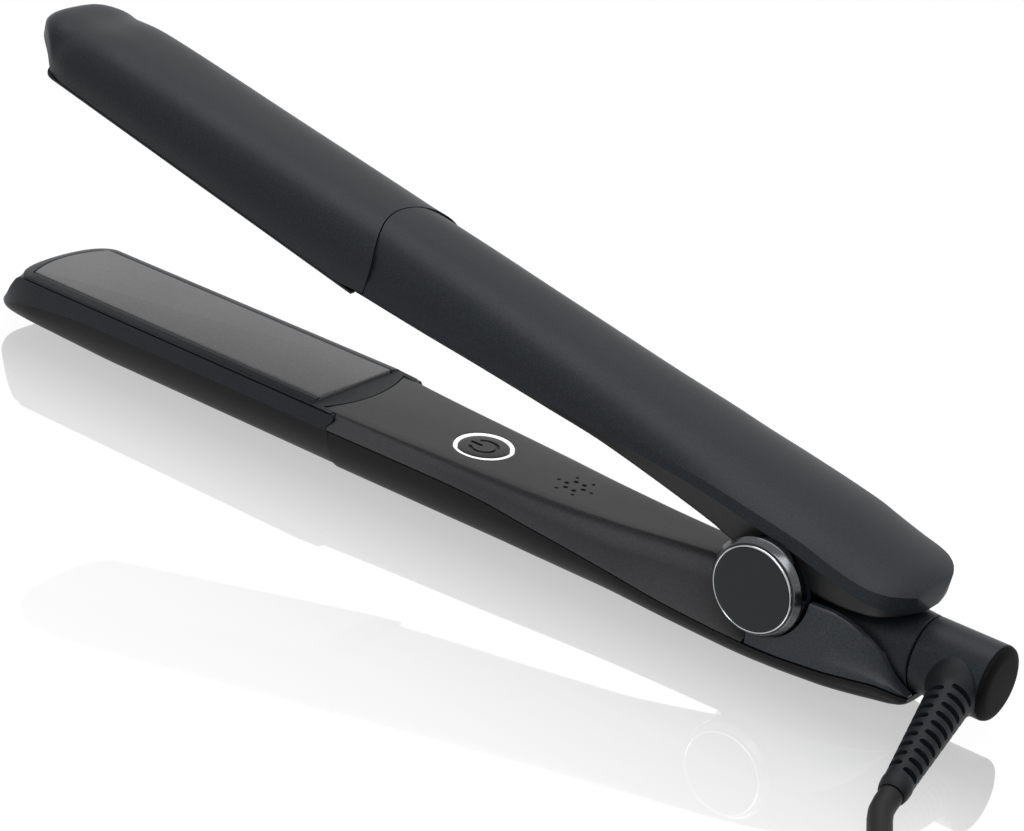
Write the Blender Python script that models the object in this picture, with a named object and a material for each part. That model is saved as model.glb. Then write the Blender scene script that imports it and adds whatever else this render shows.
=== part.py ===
"""A hair straightener: two hinged arms with floating plates, a swivel cord outlet and its lead.

Sizes are in millimetres and are scaled by MM. X runs along the arms from the tips to the cord
outlet, Y runs across them, and Z is up. Each arm is described by x, y and the depth below its own
inner side, measured from the plane in which the two plates meet.
"""

import math

import bmesh
import bpy
from mathutils import Euler, Matrix, Vector

MM = 0.001
CLEARANCE = 0.3  # between pieces that meet

# The arms: stations along X, measured from the hinge axis.
TIP_X = -236.5  # lower arm
UPPER_TIP_X = TIP_X + 1.24
LOWER_SEAM_X = -118.0  # heat section to handle, lower arm
FRAME_TIP_X = -225.8
FRAME_END_X = LOWER_SEAM_X - 1.0
PLATE_TIP_X = FRAME_TIP_X + 3.0  # middle of the plates' curved tip edge
PLATE_END_X = FRAME_END_X - 5.5
UPPER_SEAM_X = -122.5  # heat section to handle, upper arm, on the centre line
UPPER_SEAM_BOW = 7.5  # how much further the seam lies at the sides
HOUSING_X = -2.0  # inner cover to hinge housing
LOWER_TAIL_X = 32.6
UPPER_TAIL_X = 31.6
OPEN_ANGLE = math.radians(13.2)

# Cross-section of the arms.
HINGE_ABOVE_PLATES = 3.3
LOWER_DEPTH = 18.6
FRONT_HALF_WIDTH = 16.3
HINGE_HALF_WIDTH = 17.0
WALL = 1.8
COVER_WALL = 1.6
FRONT_RIM = 2.6  # depth of the heat section's rim
SIDE_BAND = 3.6  # depth of the flatter band under that rim
SIDE_LEAN = 0.5  # how far the band leans out
NOSE_LENGTH = 22.0
LOWER_NOSE_POWER = 2.3  # how square the tip's plan is: 2 is an ellipse
UPPER_NOSE_POWER = 1.8
FLAT_DROP = 0.35  # how much of the crown the level strip takes off

# Plates and what is under them.
PLATE_HALF_WIDTH = 12.6
PLATE_FACE = 0.2  # depth of the plate's face below the meeting plane
PLATE_THICKNESS = 3.0
PLATE_EDGE = 0.5
PLATE_TIP_BULGE = 3.8
FRAME_TOP = 0.5
FRAME_HALF_WIDTH = 15.7
FRAME_BEVEL = 2.3
FRAME_SKIRT = 5.2  # depth of the skirt inside the shell
HEATER_SIZE = (76.0, 15.0, 1.6)
CARRIER_SIZE = (86.0, 19.0, 1.8)
TRAY_SIZE = (82.0, 17.0, 1.4)
HEATER_CENTRE_X = -171.0
LOWER_TRAY_DEPTH = 12.4
UPPER_TRAY_DEPTH = 10.9
SPRING_LENGTH = 26.0
SPRING_WIDTH = 7.0
SPRING_STRIP = 0.5
SPRING_OFFSET = 26.0

# Hinge.
PIN_RADIUS = 2.5
EAR_RADIUS = 10.6
CHANNEL_RADIUS = 11.9
EAR_INNER_Y = 13.5
EAR_OUTER_Y = 16.9
KNUCKLE_RADIUS = 6.3
KNUCKLE_INNER_Y = 7.4
KNUCKLE_OUTER_Y = 13.1
BUSH_RADIUS = 4.2
CAP_BASE_RADIUS = 10.9
CAP_FACE_RADIUS = 9.5
CAP_FACE_Y = 20.3
CAP_RING_WIDTH = 0.6
HINGE_SPRING_RADIUS = 4.5
HINGE_SPRING_WIRE = 1.3
HINGE_SPRING_TURNS = 6
HINGE_SPRING_LEG = 11.0

# Controls on the lower handle.
BUTTON_X = -85.5
BUTTON_RADIUS = 6.1
BUTTON_TRAVEL = 0.5
LIGHT_RING_RADIUS = 7.4
BOARD_X = (-106.0, -49.0)
BOARD_HALF_WIDTH = 8.5
BOARD_DEPTH = 9.4
BOARD_THICKNESS = 1.6
BUZZER_X = -59.5
BUZZER_RADIUS = 6.0
SOUND_HOLES = ((2.3, 0.6), (4.5, 0.45))  # ring radius and hole radius
HOLES_PER_RING = 6

# Cord outlet.
SWIVEL_Z = -8.65
SWIVEL_RADIUS = 8.2
COLLAR_START_X = 9.6
COLLAR_START_RADIUS = 9.8
COLLAR_END_X = 30.2
BARREL_END_X = 49.0
END_CAP_THICKNESS = 1.6
SPINDLE_RADIUS = 3.6
SPINDLE_START_X = 17.0
SLIP_RING_RADIUS = 4.6
SLIP_RING_WIDTH = 2.2
SLIP_RING_X = (19.6, 24.0)
RELIEF_ROOT_X = 40.8
RELIEF_RAKE = math.radians(10.9)
RELIEF_DROP = math.radians(11.7)
RELIEF_REACH = 42.3  # from the swivel axis to the relief's end
RELIEF_SLOTS = 9
RELIEF_SLOT_DEPTH = 1.2

# Lead.
CORD_DIAMETER = 5.0
CORD_GAP = 0.5  # between neighbouring turns
COIL_CENTRE = (122.0, -26.0)
COIL_OUTER_RADIUS = 41.5
TURNS_PER_LAYER = 3
LAYERS = 4
POINTS_PER_TURN = 24
PLUG_WIDTH = 35.3
PLUG_THICKNESS = 13.7
PLUG_LENGTH = 34.0
PIN_SPACING = 18.6
PLUG_PIN_RADIUS = 2.0
PLUG_PIN_LENGTH = 19.0

TABLE_Z = -(HINGE_ABOVE_PLATES + LOWER_DEPTH)
CENTRE_X = (TIP_X + BARREL_END_X) / 2


# ---------------------------------------------------------------- helpers
def curve(*knots):
    """A smooth function through (x, value) knots that never overshoots them."""
    steps = [(b[1] - a[1]) / (b[0] - a[0]) for a, b in zip(knots, knots[1:])]
    inner = [0.0 if a * b <= 0 else 2 * a * b / (a + b) for a, b in zip(steps, steps[1:])]
    slopes = [steps[0], *inner, steps[-1]]

    def value(x):
        if x <= knots[0][0]:
            return knots[0][1]
        for i, ((x0, v0), (x1, v1)) in enumerate(zip(knots, knots[1:])):
            if x <= x1:
                span = x1 - x0
                t = (x - x0) / span
                rise = 3 * t * t - 2 * t * t * t
                start = (t * t * t - 2 * t * t + t) * span * slopes[i]
                finish = (t * t * t - t * t) * span * slopes[i + 1]
                return v0 + (v1 - v0) * rise + start + finish
        return knots[-1][1]

    return value


def steps_between(first, last, count):
    return [first + (last - first) * i / count for i in range(count + 1)]


def material(name, colour, roughness=0.5, metallic=0.0):
    made = bpy.data.materials.get(name) or bpy.data.materials.new(name)
    made.use_nodes = True
    shader = made.node_tree.nodes["Principled BSDF"]
    shader.inputs["Base Color"].default_value = (*colour, 1.0)
    shader.inputs["Roughness"].default_value = roughness
    shader.inputs["Metallic"].default_value = metallic
    made.diffuse_color = (*colour, 1.0)
    return made


SATIN = ("satin_charcoal", (0.03, 0.033, 0.038), 0.38, 0.15)
COVER = ("cover_grey", (0.045, 0.043, 0.045), 0.5, 0.0)
BLACK = ("black_plastic", (0.01, 0.01, 0.012), 0.45, 0.0)
PLATE = ("plate_coating", (0.115, 0.115, 0.12), 0.35, 0.6)
GLOSS = ("gloss_cap", (0.012, 0.02, 0.022), 0.08, 0.0)
CHROME = ("bright_trim", (0.75, 0.76, 0.78), 0.12, 1.0)
STEEL = ("steel", (0.5, 0.5, 0.52), 0.35, 1.0)
SPRING_STEEL = ("spring_steel", (0.42, 0.43, 0.45), 0.3, 1.0)
CERAMIC = ("heater_ceramic", (0.75, 0.73, 0.68), 0.6, 0.0)
ALUMINIUM = ("aluminium", (0.6, 0.61, 0.62), 0.4, 1.0)
HEATPROOF = ("heatproof_plastic", (0.03, 0.03, 0.03), 0.6, 0.0)
BOARD = ("board_green", (0.02, 0.16, 0.06), 0.5, 0.0)
WHITE = ("light_guide", (0.85, 0.87, 0.88), 0.3, 0.0)
BRASS = ("brass", (0.7, 0.5, 0.2), 0.3, 1.0)
BUSHING = ("acetal", (0.7, 0.69, 0.66), 0.5, 0.0)
RUBBER = ("cord_rubber", (0.014, 0.014, 0.015), 0.62, 0.0)
NICKEL = ("nickel_pins", (0.62, 0.6, 0.56), 0.25, 1.0)


def empty(name, parent=None, location=(0, 0, 0), rotation=(0, 0, 0)):
    made = bpy.data.objects.new(name, None)
    bpy.context.scene.collection.objects.link(made)
    made.parent = parent
    made.location = Vector(location) * MM
    made.rotation_euler = Euler(rotation)
    made.empty_display_size = 0.01
    return made


def finish(name, mesh, parent, look, smooth_angle=35):
    """Turn a bmesh into a named object under its frame."""
    bmesh.ops.recalc_face_normals(mesh, faces=mesh.faces)
    data = bpy.data.meshes.new(name)
    mesh.to_mesh(data)
    mesh.free()
    data.shade_smooth()
    data.set_sharp_from_angle(angle=math.radians(smooth_angle))
    made = bpy.data.objects.new(name, data)
    bpy.context.scene.collection.objects.link(made)
    made.parent = parent
    if look is None:
        made.hide_render = True
        made.display_type = "WIRE"
        made.hide_set(True)
    else:
        data.materials.append(material(*look))
    return made


def add_loft(mesh, rings):
    """Skin rings of points into a closed body with a flat face at each end."""
    loops = [[mesh.verts.new(Vector(point) * MM) for point in ring] for ring in rings]
    for near, far in zip(loops, loops[1:]):
        for i in range(len(near)):
            j = (i + 1) % len(near)
            mesh.faces.new((near[i], near[j], far[j], far[i]))
    mesh.faces.new(loops[0][::-1])
    mesh.faces.new(loops[-1])


def loft(name, rings, parent, look):
    mesh = bmesh.new()
    add_loft(mesh, rings)
    return finish(name, mesh, parent, look)


def on_axis(axis, along, radius, angle):
    """A point at a radius and angle round the X, Y or Z axis."""
    c, s = radius * math.cos(angle), radius * math.sin(angle)
    return {"X": (along, c, s), "Y": (s, along, c), "Z": (c, s, along)}[axis]


def circle(axis, along, radius, count, centre=(0, 0, 0)):
    turn = [2 * math.pi * (i + 0.5) / count for i in range(count)]
    return [tuple(Vector(on_axis(axis, along, radius, a)) + Vector(centre)) for a in turn]


def turned(name, axis, profile, parent, look, count=32, centre=(0, 0, 0)):
    """A solid turned from (along, radius) steps."""
    rings = [circle(axis, a, r, count, centre) for a, r in profile]
    return loft(name, rings, parent, look)


def turned_ring(name, axis, profile, parent, look, count=32, centre=(0, 0, 0)):
    """A hollow turned piece from a closed (along, radius) profile."""
    mesh = bmesh.new()
    rings = [circle(axis, a, r, count, centre) for a, r in profile]
    loops = [[mesh.verts.new(Vector(p) * MM) for p in ring] for ring in rings]
    for near, far in zip(loops, loops[1:] + loops[:1]):
        for i in range(count):
            j = (i + 1) % count
            mesh.faces.new((near[i], near[j], far[j], far[i]))
    return finish(name, mesh, parent, look)


def box_ring(x, y0, y1, z0, z1):
    return [(x, y0, z0), (x, y1, z0), (x, y1, z1), (x, y0, z1)]


def block(name, low, high, parent, look):
    rings = [box_ring(x, low[1], high[1], low[2], high[2]) for x in (low[0], high[0])]
    return loft(name, rings, parent, look)


def boolean(target, tool, operation="DIFFERENCE"):
    change = target.modifiers.new(tool.name, "BOOLEAN")
    change.operation = operation
    change.solver = "EXACT"
    change.object = tool
    return target


def cut(target, *tools):
    for tool in tools:
        boolean(target, tool)
    return target


def add(target, *tools):
    for tool in tools:
        boolean(target, tool, "UNION")
    return target


# ---------------------------------------------------------------- the arms' outline
class Arm:
    """One arm's outline: which way its depth runs, and how its sizes change along X."""

    def __init__(self, side, frame, depth, rim, seam_x, bow, nose, tray_depth):
        self.side = side  # -1 below the plates, +1 above them
        self.frame = frame
        self.depth = depth
        self.rim = rim
        self.seam_x = seam_x
        self.bow = bow
        self.nose = nose
        self.tray_depth = tray_depth

    def z(self, depth):
        return -HINGE_ABOVE_PLATES + self.side * depth


class Nose:
    """A heat section's rounded tip: its plan, and how far its rim lies from the plates."""

    def __init__(self, tip_x, power, middle_rim, side_rim, section):
        self.tip_x = tip_x
        self.power = power
        self.middle_rim = middle_rim
        self.side_rim = side_rim
        self.section = section  # powers of the arch, across and in depth

    def width(self, x):
        if x >= FRONT_START:
            return half_width(x)
        share = (FRONT_START - x) / (FRONT_START - self.tip_x + 0.25)
        return FRONT_HALF_WIDTH * (1 - share**self.power) ** (1 / self.power)

    def stations(self, count=7):
        """Stations that close up towards the tip."""
        length = FRONT_START - self.tip_x
        return [FRONT_START - length * math.sin(0.5 * math.pi * i / count) for i in range(count, 0, -1)]


FRONT_START = TIP_X + NOSE_LENGTH

lower_depth = curve(
    (TIP_X, 15.2), (-234.5, 16.2), (-229.0, 17.2), (-218.0, 18.2), (-202.0, LOWER_DEPTH),
    (-8.0, LOWER_DEPTH), (4.0, 18.0), (14.0, 17.1), (24.0, 16.2), (LOWER_TAIL_X, 14.8),
)
upper_depth = curve(
    (UPPER_TIP_X, 7.57), (-233.7, 10.5), (-229.0, 13.6), (-221.0, 14.3), (-211.0, 15.6),
    (-163.0, 17.1), (-131.0, 18.0), (-100.0, 18.6), (-42.0, 19.1), (-4.0, 19.5), (12.0, 18.9),
    (23.0, 17.6), (UPPER_TAIL_X, 15.6),
)
lower_nose = Nose(
    TIP_X, LOWER_NOSE_POWER,
    curve((TIP_X, 13.9), (-235.0, 11.4), (-233.0, 8.6), (-230.0, 5.4), (-226.6, FRONT_RIM)),
    curve((TIP_X, 14.6), (-234.0, 13.2), (-231.5, 12.0), (-229.5, 10.6), (-226.0, 6.2),
          (-223.0, FRONT_RIM)),
    (curve((TIP_X, 2.6), (0.0, 2.6)), curve((TIP_X, 2.6), (0.0, 2.6))),
)
upper_nose = Nose(
    UPPER_TIP_X, UPPER_NOSE_POWER,
    curve((UPPER_TIP_X, 7.2), (-231.0, 6.1), (-228.5, 4.6), (-226.0, FRONT_RIM)),
    curve((UPPER_TIP_X, 7.4), (-232.3, 7.1), (-228.0, 6.9), (-225.0, 6.2), (-221.0, FRONT_RIM)),
    (curve((-226.0, 3.0), (-205.0, 2.6)), curve((-226.0, 2.0), (-205.0, 2.6))),
)
lower_rim = curve(
    (LOWER_SEAM_X, 6.6), (-84.0, 5.8), (-71.0, 6.3), (-51.0, 9.2), (-37.0, 11.6), (5.0, 11.9),
    (16.0, 10.4), (25.0, 8.7), (LOWER_TAIL_X, 7.9),
)
upper_rim = curve(
    (UPPER_SEAM_X, FRONT_RIM + 0.4), (-100.0, 5.0), (-74.0, 7.4), (-46.0, 10.6), (-16.0, 12.6),
    (8.0, 12.8), (UPPER_TAIL_X, 12.0),
)
shoulder = curve((UPPER_SEAM_X, 0.3), (-60.0, 1.2), (-10.0, 2.4), (UPPER_TAIL_X, 2.2))
shoulder_lean = curve((-60.0, 0.0), (-10.0, 0.5), (UPPER_TAIL_X, 0.9))
half_width = curve(
    (FRONT_START, FRONT_HALF_WIDTH), (-110.0, FRONT_HALF_WIDTH + 0.2), (-20.0, 16.9),
    (5.0, HINGE_HALF_WIDTH), (14.0, 15.9), (22.0, 13.4), (28.0, 11.6), (LOWER_TAIL_X, 10.2),
)
arch_height_power = curve((UPPER_SEAM_X, 2.6), (-80.0, 2.3), (-40.0, 1.8), (-10.0, 1.55))
flat_half = curve((LOWER_SEAM_X, 14.2), (-100.0, 12.4), (-84.0, 11.2), (-40.0, 9.6), (-12.0, 8.0))
lower_face = curve((LOWER_SEAM_X, 1.5), (-100.0, 1.9), (-59.0, 2.3), (-30.0, 3.2), (-12.0, 5.0))
upper_face = curve(
    (LOWER_SEAM_X, 2.2), (-85.0, 2.4), (-46.0, 3.2), (-30.0, 5.0), (-15.0, 9.6), (0.0, 10.6),
    (UPPER_TAIL_X, 10.9),
)
housing_rim = curve(
    (-14.0, -2.6), (10.0, -3.3), (15.0, -3.1), (19.5, -1.8), (24.0, 0.8), (27.5, 3.0),
    (LOWER_TAIL_X, 5.2),
)


tail_width = curve(
    (UPPER_SEAM_X, FRONT_HALF_WIDTH), (-60.0, 16.5), (-10.0, 16.7), (8.0, 16.7), (14.0, 16.5),
    (19.0, 16.1), (23.5, 15.0), (27.0, 13.0), (29.4, 10.4), (30.9, 7.4), (UPPER_TAIL_X, 4.6),
)


def arch(arm, x, width, rim, depth, powers, wall=0.0, count=14, flat=0.0, lean=0.0):
    """A U-shaped section: a wall from the rim, which may lean in, then an arch to the crown."""
    points = [(x, width, arm.z(rim))] if wall > 0 else []
    spring = rim + wall
    base = width
    width = base - lean
    for i in range(count + 1):
        angle = math.pi * i / count
        c, s = math.cos(angle), max(math.sin(angle), 0.0)
        y = math.copysign(width * abs(c) ** (2 / powers[0]), c)
        d = spring + (depth - spring) * s ** (2 / powers[1])
        points.append((x, y, arm.z(min(d, depth - flat))))
    return points + ([(x, -base, arm.z(rim))] if wall > 0 else [])


FRONT_POWERS = (2.6, 2.6)
lower_power = curve((LOWER_SEAM_X, 2.7), (-84.0, 2.6), (-50.0, 2.3), (-37.0, 2.1), (5.0, 2.1), (20.0, 2.3),
                    (LOWER_TAIL_X, 2.5))
SKIRT_INSET = FRONT_HALF_WIDTH - FRAME_HALF_WIDTH - WALL - CLEARANCE


def front_shell(name, arm):
    """Heat section: a U-shaped shell with a closed, rounded tip."""
    nose = arm.nose
    stations = nose.stations() + steps_between(FRONT_START, arm.seam_x, 5)
    if arm.bow:
        stations.append(arm.seam_x + arm.bow + 1)
    flat = FLAT_DROP if arm.side < 0 else 0.0

    def ring(x):
        lean = min(SIDE_LEAN, 0.04 * (x - nose.tip_x))
        side = arm.rim(x) + 0.5 if x > arm.seam_x else nose.side_rim(x)
        depth = arm.depth(x) + (flat if x > FRONT_START - 1 else 0.0)
        wall = min(SIDE_BAND, 0.5 * (depth - side))
        base = nose.width(x) - lean
        powers = [power(x) for power in nose.section]
        section = arch(arm, x, base, side, depth, powers, wall=wall, flat=flat, lean=-lean)
        centre = nose.middle_rim(x)
        deck = [(x, y * base, arm.z(side + (centre - side) * rise))
                for y, rise in ((-0.7, 0.6), (0.0, 1.0), (0.7, 0.6))]
        return section + deck

    outer = [ring(x) for x in stations]
    shell = loft(name, outer, arm.frame, SATIN)
    inner_tip = FRAME_TIP_X + 1.2 * WALL
    inner_start = inner_tip + 12.0
    reach = inner_start - inner_tip
    near = [inner_start - reach * math.sin(0.5 * math.pi * i / 5) for i in range(5, 0, -1)]
    inside = near + steps_between(inner_start, arm.seam_x + arm.bow + 1, 5)

    def width(x):
        share = max(0.0, (inner_start - x) / (reach + 0.3))
        return (FRONT_HALF_WIDTH - WALL) * (1 - share**2.4) ** (1 / 2.4)

    cavity = [
        arch(arm, x, width(x), FRONT_RIM - 8, min(arm.depth(x), arm.depth(x + 4)) - WALL,
             FRONT_POWERS, wall=8.0)
        for x in inside
    ]
    pocket = [(FRONT_RIM - 6.0, SKIRT_INSET + CLEARANCE), (FRAME_SKIRT + CLEARANCE, SKIRT_INSET + CLEARANCE)]
    cut(shell, loft(name + "_cavity", cavity, arm.frame, None),
        loft(name + "_pocket", outline_stack(arm, pocket, frame_outline), arm.frame, None))
    return cut(shell, seam_prism(arm, name + "_seam", 0.0, arm.seam_x + 40)) if arm.bow else shell


def seam_prism(arm, name, gap, far_x, count=12):
    """Everything on one side of the bowed seam, out to far_x."""
    reach = FRONT_HALF_WIDTH + 3
    line = [(arm.seam_x + gap + arm.bow * (y / FRONT_HALF_WIDTH) ** 2, y)
            for y in steps_between(-reach, reach, count)]
    outline = line + [(far_x, reach), (far_x, -reach)]
    return loft(name, [[(x, y, arm.z(d)) for x, y in outline] for d in (-3.0, 26.0)], arm.frame, None)


def plate_outline(offset, tip_x, end_x, half, bulge, count=8):
    """Plan of a plate: straight sides and a tip edge that bows outwards."""
    half += offset
    points = [(end_x + offset, -half), (end_x + offset, half)]
    for i in range(count + 1):
        y = half * (1 - 2 * i / count)
        points.append((tip_x - offset + bulge * (y / half) ** 2, y))
    return points


def frame_outline(offset, count=16):
    """Plan of a plate frame, with a rounded tip."""
    half = FRAME_HALF_WIDTH + offset
    tip = FRAME_TIP_X - offset
    start = tip + 9.0
    points = [(FRAME_END_X + min(offset, 0), -half), (FRAME_END_X + min(offset, 0), half)]
    for i in range(count + 1):
        angle = math.pi * i / count - math.pi / 2
        c, s = math.cos(angle), -math.sin(angle)
        points.append((start - 9.0 * c ** (2 / 2.3), math.copysign(half * abs(s) ** (2 / 3.2), s)))
    return points


def outline_stack(arm, levels, outline):
    """Rings of one plan outline at several depths."""
    return [[(x, y, arm.z(depth)) for x, y in outline(offset)] for depth, offset in levels]


def plate_frame(name, arm):
    """Bevelled bezel that stands round the plate, with a skirt inside the shell."""
    levels = [
        (FRAME_SKIRT, SKIRT_INSET), (FRONT_RIM - CLEARANCE, SKIRT_INSET), (FRONT_RIM - CLEARANCE, 0.0),
        (FRONT_RIM - CLEARANCE - 0.5, 0.0), (FRAME_TOP, -FRAME_BEVEL + 0.3), (FRAME_TOP, -FRAME_BEVEL),
    ]
    frame = loft(name, outline_stack(arm, levels, frame_outline), arm.frame, SATIN)
    window = lambda offset: plate_outline(
        offset, PLATE_TIP_X, PLATE_END_X, PLATE_HALF_WIDTH, PLATE_TIP_BULGE
    )
    levels = [(-2.0, CLEARANCE), (FRAME_SKIRT + 2, CLEARANCE)]
    return cut(frame, loft(name + "_window", outline_stack(arm, levels, window), arm.frame, None))


def plate(name, arm, frame):
    """Heating plate with eased edges."""
    outline = lambda offset: plate_outline(
        offset, PLATE_TIP_X, PLATE_END_X, PLATE_HALF_WIDTH, PLATE_TIP_BULGE
    )
    levels = [
        (PLATE_FACE, -PLATE_EDGE), (PLATE_FACE + 0.15, -0.15), (PLATE_FACE + PLATE_EDGE, 0.0),
        (PLATE_FACE + PLATE_THICKNESS, 0.0),
    ]
    return loft(name, outline_stack(arm, levels, outline), frame, PLATE)


def arm_block(name, arm, x, half_y, depths, frame, look):
    """A block at x (low, high), across the middle, between two depths."""
    z0, z1 = sorted(arm.z(d) for d in depths)
    return block(name, (x[0], -half_y, z0), (x[1], half_y, z1), frame, look)


def bowed_strip(name, arm, x, depth_ends, depth_middle):
    """A leaf spring: a strip bowed towards the plate."""
    rings = []
    for i in range(9):
        share = 2 * i / 8 - 1
        depth = depth_middle + (depth_ends - depth_middle) * share**2
        along = x + share * SPRING_LENGTH / 2
        z0, z1 = sorted((arm.z(depth), arm.z(depth + SPRING_STRIP)))
        rings.append(box_ring(along, -SPRING_WIDTH / 2, SPRING_WIDTH / 2, z0, z1))
    return loft(name, rings, arm.frame, SPRING_STEEL)


def heat_pack(prefix, arm, plate_body):
    """Plate, heater and carrier that float together, and the springs and tray that hold them."""
    middle = HEATER_CENTRE_X
    plate(prefix + "_plate", arm, plate_body)
    top = PLATE_FACE + PLATE_THICKNESS + CLEARANCE
    span = lambda length: (middle - length / 2, middle + length / 2)
    arm_block(prefix + "_heater", arm, span(HEATER_SIZE[0]), HEATER_SIZE[1] / 2,
              (top, top + HEATER_SIZE[2]), plate_body, CERAMIC)
    top += HEATER_SIZE[2] + CLEARANCE
    arm_block(prefix + "_heater_carrier", arm, span(CARRIER_SIZE[0]), CARRIER_SIZE[1] / 2,
              (top, top + CARRIER_SIZE[2]), plate_body, ALUMINIUM)
    top += CARRIER_SIZE[2] + CLEARANCE
    for end, place in (("front", -SPRING_OFFSET), ("rear", SPRING_OFFSET)):
        bowed_strip(f"{prefix}_float_spring_{end}", arm, middle + place,
                    arm.tray_depth - CLEARANCE - SPRING_STRIP, top)
    tray = arm_block(prefix + "_heater_tray", arm, span(TRAY_SIZE[0]), TRAY_SIZE[1] / 2,
                     (arm.tray_depth, arm.tray_depth + TRAY_SIZE[2]), arm.frame, HEATPROOF)
    floor = arm.depth(middle - TRAY_SIZE[0] / 3) - WALL - CLEARANCE - 0.25
    keel = arm_block(prefix + "_tray_keel", arm, span(TRAY_SIZE[0] / 2), 2.0,
                     (arm.tray_depth + 0.5, floor), arm.frame, None)
    add(tray, keel)


# ---------------------------------------------------------------- handles
def cover_ring(arm, x, width, rim, flat, face, inset=0.0):
    """Section of an inner cover: level face, soft crease, and a band that slopes to the rim."""
    width, flat, face = width - inset, max(flat - 0.7 * inset, 1.0), face + inset
    middle_y = 0.45 * flat + 0.55 * width
    middle_d = 0.62 * face + 0.38 * rim
    half = [(width, rim), (middle_y, middle_d), (flat + 0.9, face + 0.35), (flat - 0.9, face)]
    left = [(-y, d) for y, d in reversed(half)]
    return [(x, y, arm.z(d)) for y, d in half + left]


def lower_cover(arm):
    """Lower handle's inner cover, with holes for the controls and the hinge cut away."""
    stations = steps_between(LOWER_SEAM_X + CLEARANCE, HOUSING_X - CLEARANCE, 12)
    rim = lambda x: arm.rim(x) - CLEARANCE
    outer = [cover_ring(arm, x, half_width(x), rim(x), flat_half(x), lower_face(x)) for x in stations]
    inner = [
        cover_ring(arm, x, half_width(x), rim(x) + 6, flat_half(x), lower_face(x), COVER_WALL)
        for x in steps_between(LOWER_SEAM_X + COVER_WALL, HOUSING_X + 5, 12)
    ]
    cover = loft("lower_inner_cover", outer, arm.frame, COVER)
    cavity = loft("lower_cover_cavity", inner, arm.frame, None)
    bay = block("hinge_bay", (-CHANNEL_RADIUS - 0.8, -KNUCKLE_OUTER_Y - 0.4, -16.0),
                (2.0, KNUCKLE_OUTER_Y + 0.4, 6.0), arm.frame, None)
    button_hole = turned("button_hole", "Z", [(-12.0, LIGHT_RING_RADIUS + CLEARANCE),
                         (2.0, LIGHT_RING_RADIUS + CLEARANCE)], arm.frame, None,
                         centre=(BUTTON_X, 0, 0))
    return cut(cover, cavity, bay, *ear_clearance(arm, "cover"), button_hole, sound_holes(arm))


def ear_clearance(arm, owner):
    """The round cuts in the lower arm's sides in which the upper arm's ears turn."""
    start = EAR_INNER_Y - CLEARANCE
    return [
        turned(f"{owner}_ear_cut_{name}", "Y",
               [(sign * start, CHANNEL_RADIUS), (sign * 25.0, CHANNEL_RADIUS)], arm.frame, None, count=48)
        for sign, name in ((-1, "near"), (1, "far"))
    ]


def sound_holes(arm):
    """Two rings of holes over the buzzer."""
    mesh = bmesh.new()
    for ring, radius in SOUND_HOLES:
        for i in range(HOLES_PER_RING):
            angle = 2 * math.pi * i / HOLES_PER_RING
            centre = (BUZZER_X + ring * math.cos(angle), ring * math.sin(angle), 0)
            add_loft(mesh, [circle("Z", z, radius, 8, centre) for z in (-9.0, 0.0)])
    return finish("sound_holes", mesh, arm.frame, None)


def lower_handle(arm):
    """Lower handle's outer shell, from the heat section to the tail."""
    stations = steps_between(LOWER_SEAM_X + CLEARANCE, 0.0, 11) + steps_between(4.0, LOWER_TAIL_X, 6)

    def ring(x, inset, rim_offset, wall):
        width = half_width(x) - inset
        depth = arm.depth(x) + FLAT_DROP - inset
        powers = (lower_power(x), lower_power(x))
        flat = 0.0 if inset or x > 0 else FLAT_DROP
        drop = FLAT_DROP if x > 0 else 0.0
        return arch(arm, x, width, arm.rim(x) + rim_offset, depth - drop, powers, wall=wall, flat=flat)

    outer = [ring(x, 0.0, 0.0, 0.6) for x in stations]
    inner = [
        ring(x, WALL if x < 10 else 0.9, -6.0, 6.6)
        for x in steps_between(LOWER_SEAM_X, 0.0, 9) + steps_between(4.0, LOWER_TAIL_X + 0.6, 6)
    ]
    shell = loft("lower_handle_shell", outer, arm.frame, BLACK)
    cut(shell, barrel_room("handle"))
    posts = [
        arm_block(f"board_post_{i}", arm, (x - 3, x + 3), 3.0,
                  (BOARD_DEPTH + BOARD_THICKNESS + CLEARANCE, LOWER_DEPTH - 0.5 * WALL),
                  arm.frame, None)
        for i, x in enumerate((BOARD_X[0] + 8, BOARD_X[1] - 8))
    ]
    return add(cut(shell, loft("lower_handle_cavity", inner, arm.frame, None)), *posts)


def barrel_room(owner):
    """The round opening at the tail in which the collar sits and the barrel turns."""
    return turned(f"{owner}_barrel_room", "X", [
        (COLLAR_START_X - CLEARANCE, COLLAR_START_RADIUS + CLEARANCE),
        (COLLAR_END_X, SWIVEL_RADIUS + CLEARANCE), (COLLAR_END_X + 5, SWIVEL_RADIUS + CLEARANCE)],
        bpy.data.objects["hinge_frame"], None, count=48, centre=(0, 0, SWIVEL_Z))


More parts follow.
